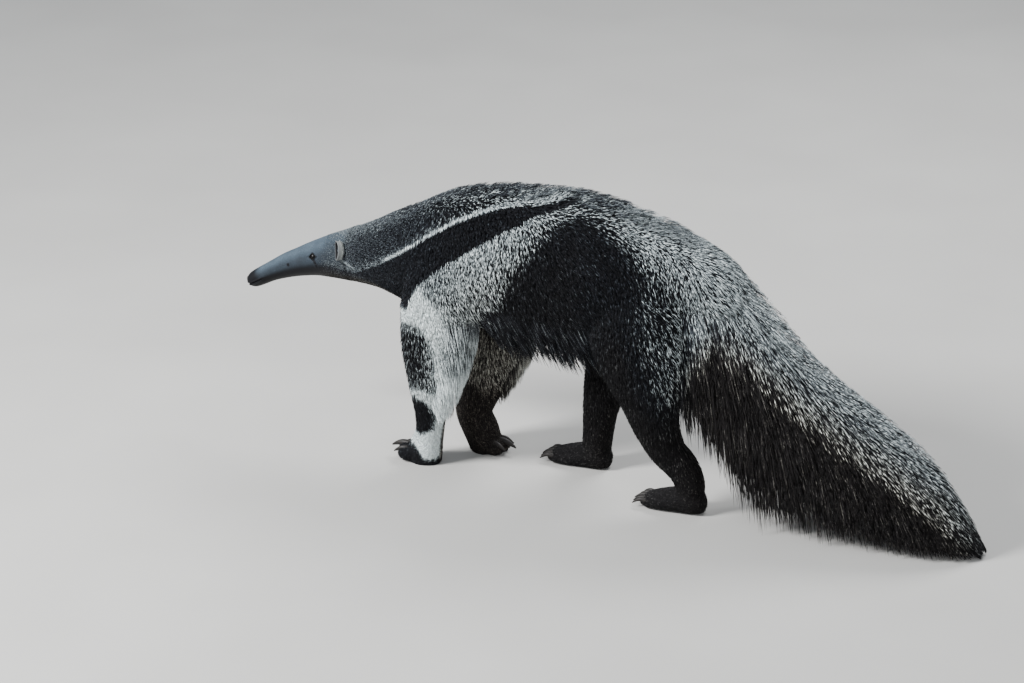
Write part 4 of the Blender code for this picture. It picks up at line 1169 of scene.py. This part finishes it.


# Cold hair tones from black to pale. Their blue tint is painted light: the cast of blue sky light, and its
# bluish sheen on the black hair.
COLD_RAMP = (
    (0.0, (0.0015, 0.0017, 0.0026)),
    (0.15, (0.0062, 0.0074, 0.0108)),
    (0.27, (0.044, 0.055, 0.068)),
    (0.45, (0.15, 0.175, 0.185)),
    (0.75, (0.47, 0.54, 0.56)),
    (1.0, (0.8, 0.88, 0.89)),
)
WARM_RAMP = (
    (0.0, (0.0026, 0.0019, 0.0016)),
    (0.15, (0.012, 0.0086, 0.0066)),
    (0.45, (0.19, 0.16, 0.12)),
    (0.75, (0.55, 0.51, 0.4)),
    (1.0, (0.87, 0.84, 0.73)),
)
SKIN_RAMP = (
    (0.0, (0.002, 0.0023, 0.003)),
    (0.4, (0.012, 0.0158, 0.0205)),
    (0.7, (0.03, 0.0425, 0.056)),
    (1.0, (0.082, 0.113, 0.142)),
)
# Near black of the nose and the wart, also used for painted shade under the head, in the mouth line and
# nostrils and round the eye.
SKIN_DARK = (0.0025, 0.0025, 0.0035, 1)
HORN_RAMP = (
    (0.25, (0.003, 0.003, 0.003)),
    (0.6, (0.012, 0.01, 0.009)),
    (0.9, (0.045, 0.038, 0.031)),
)
EYE_RAMP = ((0.3, (0.001, 0.001, 0.0012)), (0.75, (0.004, 0.0028, 0.0024)))
FLOOR_RAMP = ((0.3, (0.3, 0.296, 0.285)), (0.7, (0.325, 0.321, 0.309)))
SKY_COLOUR, SKY_STRENGTH = (0.86, 0.92, 1.0, 1), 0.75


def coat_colour(start, tone):
    """The colour of the hair from its tone, cold or warm by the marking."""
    return mixed(start, carried(start, "warm"), ramp(start, COLD_RAMP, tone), ramp(start, WARM_RAMP, tone))


def coat_material():
    """Hair: a darker root, a lighter tip and fine uneven tone along each tuft."""
    material, shader, start = new_material("coat_hair", Specular_IOR_Level=0.14)
    tone = carried(start, "tone")
    along = carried(start, "along")
    grain = noise(start, 160.0, 3.0, 0.6)
    speck = noise(start, 330.0, 1.0)
    flecks = (speck - 0.5) * 2.6 + (grain - 0.5) * 0.6
    tone = tone * (0.86 + 0.14 * along) * (1.0 + flecks * (1.15 - tone))
    feed(shader, "Base Color", coat_colour(start, tone))
    feed(shader, "Roughness", 0.56 + 0.16 * grain)
    return material


def skin_material():
    """Bare blue-grey skin on the muzzle with painted light and shade, and under the coat the coat's own
    markings.
    """
    material, shader, start = new_material("anteater_skin", Specular_IOR_Level=0.1)
    bare, dark = carried(start, "bare"), carried(start, "dark")
    speck = noise(start, 620.0, 2.0, 0.7)
    cloud = noise(start, 38.0, 4.0, 0.6)
    fur = coat_colour(start, carried(start, "tone") * (0.7 + 0.5 * speck))
    skin_tone = carried(start, "shade") + (cloud - 0.5) * 0.22 + (speck - 0.5) * 0.55
    surface = mixed(start, bare, fur, ramp(start, SKIN_RAMP, skin_tone))
    # The dark mask brings in the black of the nose and wart, and the painted shade of the head.
    feed(shader, "Base Color", mixed(start, dark, surface, SKIN_DARK))
    feed(shader, "Roughness", 0.7 - 0.2 * dark * bare)
    height = speck * 0.4 + cloud * 0.6
    feed(shader, "Normal", start.node("ShaderNodeBump", Strength=0.35, Distance=0.0012, Height=height))
    return material


def horn_material():
    """Dark horn with grain along the claw."""
    material, shader, start = new_material("claw_horn", Specular_IOR_Level=0.25)
    place = start.node("ShaderNodeTexCoord", output=3)
    streak = start.node("ShaderNodeMapping", Vector=place, Scale=(60.0, 420.0, 420.0))
    grain = start.node("ShaderNodeTexNoise", Vector=streak, Scale=1.0, Detail=3.0)
    feed(shader, "Base Color", ramp(start, HORN_RAMP, grain))
    feed(shader, "Roughness", 0.42 + 0.3 * grain)
    feed(shader, "Normal", start.node("ShaderNodeBump", Strength=0.3, Distance=0.0004, Height=grain))
    return material


def eye_material():
    """A moist black-brown eye."""
    material, shader, start = new_material("moist_eye", Roughness=0.3, Specular_IOR_Level=0.12)
    feed(shader, "Base Color", ramp(start, EYE_RAMP, noise(start, 300.0, 2.0)))
    return material


# The pieces.


def add_values(mesh, name, values):
    layer = mesh.attributes.new(name, "FLOAT", "POINT")
    layer.data.foreach_set("value", values.astype(np.float32))


def skin_values(mesh):
    """Gives the skin markings, its bare part, dark places and painted light and shade, and tells its ears
    apart.

    Returns for each vertex whether it lies on the body and whether it lies on the hairy back of an ear."""
    points = vertex_values(mesh, "co")
    x, y, z = points.T
    mirrored = np.stack((x, np.abs(y), z), axis=1)
    pale, warm = markings(points)
    middle, half_height, _ = head_section(x)
    upper = (z - middle) / half_height
    bare = fade(-0.596, -0.616, x)
    tone = 0.04 + 0.62 * fade(0.6, 0.95, pale)
    # Painted light and shade: the head's skin is made lighter over its top and darker low down, over its own
    # blue-grey tone.
    shade = 0.45 + 0.28 * fade(0.2, 0.95, upper) - 0.34 * fade(0.15, -0.45, upper)
    shade -= 0.06 * fade(-0.7, -0.64, x)
    nose = fade(-0.83, -0.856, x + np.where(upper > 0, 0.01, 0.04) * upper)
    # Painted shade: near black under the muzzle and the jaw.
    under = fade(0.02, -0.4, upper)
    throat = fade(-0.1, -0.45, upper) * fade(-0.7, -0.64, x)
    # Painted shade in the line of the mouth and in the nostrils, where the relief sinks in.
    groove_shade = fade(-0.001, -0.0026, mouth_relief(mirrored))
    dark = nose + 0.94 * under + throat + groove_shade + eye_shadow(mirrored) + mole(mirrored)
    dark *= x < -0.58
    rows = len(EAR_BACK + EAR_CUP)
    body = np.arange(len(points)) < len(points) - 2 * rows * EAR_SIDES
    row = np.tile(np.repeat(np.arange(rows), EAR_SIDES), 2)
    tone[~body] = np.array(EAR_BACK_TONES + EAR_CUP_TONES)[row]
    warm[~body], bare[~body], dark[~body] = 0.3, 0.0, 0.0
    for name, values in (("tone", tone), ("warm", warm), ("bare", bare), ("shade", shade), ("dark", dark)):
        add_values(mesh, name, np.clip(values, 0, 1))
    back = np.zeros(len(points), bool)
    back[~body] = row < EAR_HAIRY_ROWS
    return body, back


def mole(mirrored):
    """A small dark wart on each side of the muzzle."""
    return fade(0.006, 0.0026, np.linalg.norm(mirrored - MOLE, axis=1))


def claw_mesh(base, pointing, length, half):
    """A tapered claw, arched over and down to a blunt tip, with a ridged underside."""
    pointing = Vector(pointing).normalized()
    rows = []
    for part in np.linspace(0, 1, 12):
        size = 1.0 - 0.1 * part - 0.72 * part**2.2
        place = Vector(base) + pointing * (length * part) + UP * (CLAW_ARCH * math.sin(math.pi * part))
        rows.append((*place, half * size * 1.15, half * size))
    return mesh_of(tube_shape(swept(rows, 24, 16)), "claw")


def make_claws(material):
    """Every claw of both sides, each in the place of its node."""
    for side, side_name in SIDE_NAMES.items():
        heel_x, heel_y = HEELS[side]
        meshes = {}
        for number, (spread, length) in enumerate(HIND_CLAWS, 1):
            base = (heel_x + SOLE[-2][0] + 0.12 * abs(spread), heel_y + spread, 0.014)
            pointing = (-1, spread * 6, -0.12)
            claw = (base, pointing, length + HIND_CLAW_SUNK, HIND_CLAW_ROUND)
            meshes[f"claw_hind_{side_name}_{number}"] = claw_mesh(*claw)
        for number, claw in enumerate(FORE_CLAWS[side], 1):
            meshes[f"claw_fore_{side_name}_{number}"] = claw_mesh(*claw)
        for node, mesh in meshes.items():
            show(node + "_horn", mesh, material, "horn", [node])


def make_eyes(material):
    """Both eyes, sunk between their lids."""
    for side, side_name in SIDE_NAMES.items():
        point, outward = head_side(EYE_X, EYE_RISE, side)
        shape = ball_shape(point - outward * EYE_SUNK, (EYE_RADIUS,) * 3, 40, 28)
        show(f"eye_{side_name}_ball", mesh_of(shape, "eye"), material, "eye", [f"eye_{side_name}"])


# Long hair of the tail, belly, back and forelegs.

# Places of a lock's rings along its path.
LOCK_PARTS = np.array((0.0, 0.34, 0.64, 0.86, 1.0))


def curve(controls, part):
    """Points along smooth paths of four control points, at parts of their length for each path."""
    first, second, third, last = (control[:, None] for control in controls)
    part = part[..., None]
    rest = 1 - part
    return off_floor(
        first * rest**3 + second * (3 * part * rest**2) + third * (3 * part**2 * rest) + last * part**3
    )


def lock_tones(paths, draw):
    """Dark locks, some of them pale in the share that the marking gives.

    They are pale on the outer part, or all along where the coat is pale all through."""
    count, places = paths.shape[:2]
    pale, warm = markings(paths.reshape(-1, 3))
    pale, warm = pale.reshape(count, places), warm.reshape(count, places)
    share = pale[:, -2]
    light = even_draw(paths[:, -2], draw) < share
    bright = (0.36 + 0.44 * fade(0.05, 0.35, share)) * draw.uniform(0.6, 1.05, count)
    bright *= 1 - 0.4 * fade(-0.25, -0.4, paths[:, 0, 0]) * (paths[:, 0, 2] > 0.45)
    outer = np.clip(np.linspace(-1.6, 1.0, places) + draw.normal(0, 0.25, (count, 1)), 0, 1)
    outer = np.maximum(outer, fade(0.45, 0.75, pale))
    dim = 0.06 + 0.17 * draw.random((count, 1)) ** 2 + 0.18 * (draw.random((count, 1)) < 0.14)
    tones = dim * draw.uniform(0.6, 1.2, (count, places))
    tones = np.where(light[:, None], toward(tones, bright[:, None], outer), tones)
    white = fade(0.84, 0.96, pale)
    return toward(tones, draw.uniform(0.75, 1.0, (count, 1)), white), warm


# How the tail's hair reaches back, drops and spreads by its turn in degrees from the tail's top.
PLUME_TURNS = (0, 14, 50, 88, 136, 168)
PLUME_REACH = (0.135, 0.135, 0.112, 0.076, 0.05, 0.045)
PLUME_DROP = (0.0, 0.05, 0.42, 0.8, 1.0, 1.0)
PLUME_SHARE = (0.04, 0.28, 0.88, 1.0, 0.92, 0.5)
PLUME_LAST_TURN, ROOT_LAST_TURN = 168, 172
PLUME_FROM, PLUME_TO, PLUME_END = 0.235, 0.868, 0.938
PLUME_FRONT = ((0.235, 0.4), (0.42, 1.0))
PLUME_CUTS = (0.2, 0.32, 0.42, 0.52, 0.62, 0.74, 0.95)
PLUME_CLUMPS, PLUME_EACH, PLUME_WIDTHS = 980, 13, (0.0017, 0.003)
# The ends of finer hair over the tail's upper side: number, last turn, length as a share, and widths.
TICKS, TICK_TURN, TICK_PART, TICK_WIDTHS = 52000, 118, 0.115, (0.0011, 0.0018)


def plume_growth(draw, clumps, each_clump, last_turn):
    """The growth of the tail's hair: the control points of its paths, from the flesh to the outline.

    Returns them with the x, turn and side of the roots and the ways out at the middle and the tip."""
    count = clumps * each_clump

    def each(values, scatter):
        """Values of the clumps given to their hairs, with a scatter of their own."""
        return np.repeat(values, each_clump) + draw.normal(0, scatter, count)

    clump_x = PLUME_FROM + (PLUME_TO - PLUME_FROM) * (np.arange(clumps) + draw.random(clumps)) / clumps
    clump_turn = last_turn * draw.random(clumps) ** 0.9
    side = np.repeat(np.where(np.arange(clumps) % 2, LEFT, RIGHT), each_clump)
    x = np.clip(each(clump_x, 0.01), PLUME_FROM, PLUME_TO)
    turn = np.minimum(np.abs(each(clump_turn, 6.0)), ROOT_LAST_TURN)
    middle, tall, wide = read_rows(TAIL, 0, x, 1, 2, 3)
    angle = np.radians(turn)
    zero = np.zeros(count)
    root = np.stack((x, side * wide * np.sin(angle), middle + tall * np.cos(angle)), axis=1)
    outward = unit(np.stack((zero, side * np.sin(angle) / wide, np.cos(angle) / tall), axis=1))
    tip_turn = np.clip(each(clump_turn, 2.0), 0, PLUME_LAST_TURN)
    tip_from = np.clip(each(clump_x, 0.006), PLUME_FROM, PLUME_TO)
    stretch = each(draw.uniform(0.82, 1.2, clumps), 0.05)
    reach = np.interp(tip_turn, PLUME_TURNS, PLUME_REACH) * value_at(PLUME_FRONT, tip_from) * stretch
    tip_x = np.minimum(tip_from + reach, PLUME_END)
    drop = np.interp(tip_turn, PLUME_TURNS, PLUME_DROP) * each(draw.uniform(0.95, 1.04, clumps), 0.012)
    drop = np.clip(drop, 0, 1.0)
    share = np.interp(tip_turn, PLUME_TURNS, PLUME_SHARE) * each(draw.uniform(0.86, 1.0, clumps), 0.03)
    top, hem = value_at(TAIL_TOP, tip_x), value_at(TAIL_HEM, tip_x)
    tip_y = side * share * value_at(TAIL_HALF_WIDTH, tip_x)
    tip = np.stack((tip_x, tip_y, toward(top, hem, drop)), axis=1)
    end_out = unit(np.stack((zero, side * share, 1 - drop), axis=1))
    leave = root + outward * 0.016 + (tip - root) * 0.3
    arrive = tip + (root - tip) * 0.35 + end_out * 0.016
    return (root - outward * 0.003, leave, arrive, tip), x, turn, side, unit(outward + end_out), end_out


def plume_pieces(kind, maker, looks, growth, material):
    """Shows the tail's hair in pieces from front to end. looks: paths, facing, widths, tones and warmths."""
    _, x, turn, side, _, _ = growth
    for number, (low, high) in enumerate(zip(PLUME_CUTS, PLUME_CUTS[1:]), 1):
        for one, side_name in SIDE_NAMES.items():
            picked = np.flatnonzero((x >= low) & (x < high) & (side == one))
            place = np.stack(((x[picked] - low) / (high - low), turn[picked] / ROOT_LAST_TURN), axis=1)
            name = f"{kind}_{number}_{side_name}"
            own = (values[picked] for values in looks)
            show(name, maker(name, *own, inset(place)), material, "tail_coat")


def make_plume(material):
    """The tail's long hair in clumps, and the ends of finer hair that lie over its upper side."""
    draw = np.random.default_rng(SEED + 1)
    growth = plume_growth(draw, PLUME_CLUMPS, PLUME_EACH, PLUME_LAST_TURN)
    controls, facing = growth[0], growth[4]
    count = len(facing)
    grown = draw.uniform(0.66, 1.03, (count, 1))
    paths = curve(controls, LOCK_PARTS[None] * grown)
    tones, warms = lock_tones(paths, draw)
    widths = draw.uniform(*PLUME_WIDTHS, count)
    plume_pieces("plume", lock_mesh, (paths, facing, widths, tones, warms), growth, material)

    growth = plume_growth(draw, TICKS // 2, 2, TICK_TURN)
    controls, end_out = growth[0], growth[5]
    count = len(end_out)
    grown = draw.uniform(0.42, 1.02, (count, 1))
    length = TICK_PART * draw.uniform(0.7, 1.3, (count, 1))
    paths = curve(controls, grown - length * np.array((1.0, 1 - HAIR_BULGE, 0.0)))
    paths += (end_out * draw.uniform(-0.002, 0.004, (count, 1)))[:, None]
    paths[:, 1] += end_out * 0.0008
    paths = off_floor(paths)
    pale, warm = markings(paths[:, 1])
    tones = ticked(paths[:, 1], pale, 0.0, 0.0, draw)
    warms = np.repeat(warm[:, None], 3, axis=1)
    widths = draw.uniform(*TICK_WIDTHS, count)
    plume_pieces("plume_ticks", blade_mesh, (paths, end_out, widths, tones, warms), growth, material)


def trunk_side(x, turn, side, inside=0.0):
    """Points on the trunk, turned that far from its top, and the way out of it."""
    middle, tall, wide = read_rows(TRUNK, 0, x, 1, 2, 3)
    tall, wide = tall - inside, wide - inside
    point = np.stack((x, side * wide * np.sin(turn), middle + tall * np.cos(turn)), axis=1)
    outward = np.stack((0 * x, side * np.sin(turn) / wide, np.cos(turn) / tall), axis=1)
    return point, unit(outward)


def in_clumps(draw, clumps, each, *spans):
    """Places for hairs in clumps. A span is (low, high, scatter)."""
    places = []
    for low, high, scatter in spans:
        middles = np.repeat(draw.uniform(low, high, clumps), each)
        places.append((middles, middles + draw.normal(0, scatter, clumps * each)))
    return places


FRINGE_EACH = 8
CREST_CLUMPS, CREST_HALF_TURN, CREST_WIDTHS = 460, 0.34, (0.0008, 0.0014)
CREST_LENGTH = ((-0.57, 0.016), (-0.45, 0.026), (-0.2, 0.032), (0.1, 0.034), (0.27, 0.044))
CREST_RISE = ((-0.57, 0.002), (-0.45, 0.007), (-0.3, 0.009), (0.0, 0.008), (0.27, 0.01))
BELLY_CLUMPS, BELLY_WIDTHS = 250, (0.0011, 0.0019)
BELLY_SPANS = {LEFT: (-0.25, 0.05), RIGHT: (-0.16, -0.05)}
BELLY_TURNS = (math.radians(112), math.radians(172))
BELLY_DROP = (0.035, 0.068)
ARM_CLUMPS, ARM_WIDTHS = 220, (0.001, 0.0017)
ARM_LENGTH = ((0.15, 0.035), (0.22, 0.055), (0.4, 0.065))


def fringe_piece(name, ends, outward, bends, widths, place, draw, material, slot):
    """Locks from roots to tips, made and shown as one piece.

    bends: the share of the way and the distance outwards of the control points, near the root and the tip."""
    root, tip = ends
    (leave_part, leave_out), (arrive_part, arrive_out) = bends
    leave = root + outward * leave_out + (tip - root) * leave_part
    arrive = tip + (root - tip) * arrive_part + outward * arrive_out
    spread = draw.uniform(*widths, len(root))
    grown = draw.uniform(0.75, 1.05, (len(root), 1))
    paths = curve((root - outward * 0.006, leave, arrive, tip), LOCK_PARTS[None] * grown)
    tones, warms = lock_tones(paths, draw)
    place = inset(np.clip(place, 0, 1))
    show(name, lock_mesh(name, paths, outward, spread, tones, warms, place), material, slot)


def make_crest(material):
    """Longer hair along the middle of the neck and back, standing a little."""
    draw = np.random.default_rng(SEED + 2)
    (near_x, x), (near_turn, turn) = in_clumps(
        draw, CREST_CLUMPS, FRINGE_EACH, (-0.57, 0.27, 0.005), (-CREST_HALF_TURN, CREST_HALF_TURN, 0.03)
    )
    root, outward = trunk_side(x, turn, 1, 0.01)
    length = value_at(CREST_LENGTH, x) * draw.uniform(0.8, 1.2, len(x))
    near_x = np.clip(near_x + draw.normal(0, 0.002, len(x)) + length, -0.6, 0.33)
    tip, _ = trunk_side(near_x, near_turn, 1)
    tip[:, 2] += value_at(CREST_RISE, x) * draw.uniform(0.2, 1.1, len(x))
    bends = ((0.25, 0.01), (0.3, 0.005))
    place = np.stack(((x + 0.6) / 0.9, (turn + 0.4) / 0.8), axis=1)
    look = (bends, CREST_WIDTHS, place, draw, material)
    fringe_piece("crest_hair", (root, tip), outward, *look, "grizzled_coat")


def make_belly(material):
    """Hair that hangs from the belly."""
    for number, (side, (low, high)) in enumerate(BELLY_SPANS.items()):
        draw = np.random.default_rng(SEED + 3 + number)
        (near_x, x), (near_turn, turn) = in_clumps(
            draw, BELLY_CLUMPS, FRINGE_EACH, (low, high, 0.006), (*BELLY_TURNS, 0.04)
        )
        root, outward = trunk_side(x, turn, side, 0.01)
        drop = draw.uniform(*BELLY_DROP, len(x)) * fade(low - 0.02, low + 0.05, x)
        under, _ = trunk_side(near_x, near_turn, side)
        tip = under + np.stack((0.03 + 0 * x, -0.15 * under[:, 1], -drop), axis=1)
        bends = ((0.3, 0.008), (0.35, 0.004))
        place = np.stack(((x - low + 0.03) / (high - low + 0.06), (turn - 1.8) / 1.4), axis=1)
        look = (bends, BELLY_WIDTHS, place, draw, material)
        fringe_piece("belly_hair_" + SIDE_NAMES[side], (root, tip), outward, *look, "dark_coat")


def make_arm_fringes(material):
    """Longer hair down the rear edge of each foreleg."""
    for side, side_name in SIDE_NAMES.items():
        draw = np.random.default_rng(SEED + 6 + side)
        (near_z, z), (_, turn) = in_clumps(
            draw, ARM_CLUMPS, FRINGE_EACH, (0.15, 0.4, 0.006), (-0.5, 1.1, 0.08)
        )
        mid_x, mid_y, long, wide = read_rows(FORELEGS[side], 2, z, 0, 1, 3, 4)
        long, wide = long - 0.007, wide - 0.007
        root = np.stack((mid_x + long * np.cos(turn), mid_y + side * wide * np.sin(turn), z), axis=1)
        outward = unit(np.stack((np.cos(turn) / long, side * np.sin(turn) / wide, 0 * z), axis=1))
        end_z = near_z - value_at(ARM_LENGTH, z) * draw.uniform(0.8, 1.15, len(z))
        below = sum(read_rows(FORELEGS[side], 2, end_z, 0, 3))
        hang = 0.35 * (below - root[:, 0]) * np.cos(turn) + 0.01
        tip = np.stack((root[:, 0] + hang, root[:, 1] + side * 0.003, end_z), axis=1)
        bends = ((0.3, 0.008), (0.35, 0.005))
        place = np.stack(((turn + 0.9) / 2.4, (z - 0.12) / 0.31), axis=1)
        look = (bends, ARM_WIDTHS, place, draw, material)
        fringe_piece("foreleg_fringe_" + side_name, (root, tip), outward, *look, "pale_coat")


# Studio.

# Each lamp: name, power, size and place.
LIGHTS = (
    ("key", 760, 1.5, (-2.9, -2.9, 3.2)),
    ("fill", 150, 3.0, (3.2, -3.4, 2.2)),
    ("back", 230, 2.0, (0.6, 2.6, 3.6)),
)


def add_camera():
    turn, rise = math.radians(CAMERA_TURN), math.radians(CAMERA_RISE)
    back = Vector((math.sin(turn) * math.cos(rise), -math.cos(turn) * math.cos(rise), math.sin(rise)))
    data = bpy.data.cameras.new("camera")
    data.lens = CAMERA_LENS
    data.sensor_width = CAMERA_SENSOR
    data.clip_end = 60.0
    camera = linked("camera", data)
    camera.location = CAMERA_AIM + back * CAMERA_DISTANCE
    camera.rotation_euler = back.to_track_quat("Z", "Y").to_euler()
    bpy.context.scene.camera = camera


def add_lights():
    for name, energy, size, place in LIGHTS:
        data = bpy.data.lights.new(name, "AREA")
        data.shape = "DISK"
        data.size = size
        data.energy = energy
        lamp = linked(name, data)
        lamp.location = place
        lamp.rotation_euler = (Vector(place) - Vector((0, 0, 0.3))).to_track_quat("Z", "Y").to_euler()


def add_studio():
    """A plain pale floor that runs far back, and a pale sky."""
    shape = bmesh.new()
    bmesh.ops.create_grid(shape, x_segments=2, y_segments=2, size=30)
    floor = linked("studio_floor", mesh_of(shape, "studio_floor"))
    material, shader, start = new_material("studio_paper", Roughness=0.85)
    feed(shader, "Base Color", ramp(start, FLOOR_RAMP, noise(start, 2.0, 2.0)))
    floor.data.materials.append(material)
    world = bpy.data.worlds.new("studio")
    world.use_nodes = True
    sky = world.node_tree.nodes["Background"]
    sky.inputs["Color"].default_value = SKY_COLOUR
    sky.inputs["Strength"].default_value = SKY_STRENGTH
    bpy.context.scene.world = world


def main():
    flesh = [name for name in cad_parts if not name.startswith(("eye_", "claw_"))]
    skin = make_skin_mesh()
    body, ear_backs = skin_values(skin)
    coat_ground, ear_ground = Surface(skin, body), Surface(skin, ear_backs)
    show("skin", skin, skin_material(), "head_skin", flesh)
    hair = coat_material()
    make_coat(coat_ground, hair)
    make_ear_hair(ear_ground, hair)
    for make_long_hair in (make_plume, make_crest, make_belly, make_arm_fringes):
        make_long_hair(hair)
    make_eyes(eye_material())
    make_claws(horn_material())
    add_studio()
    add_lights()
    add_camera()


main()
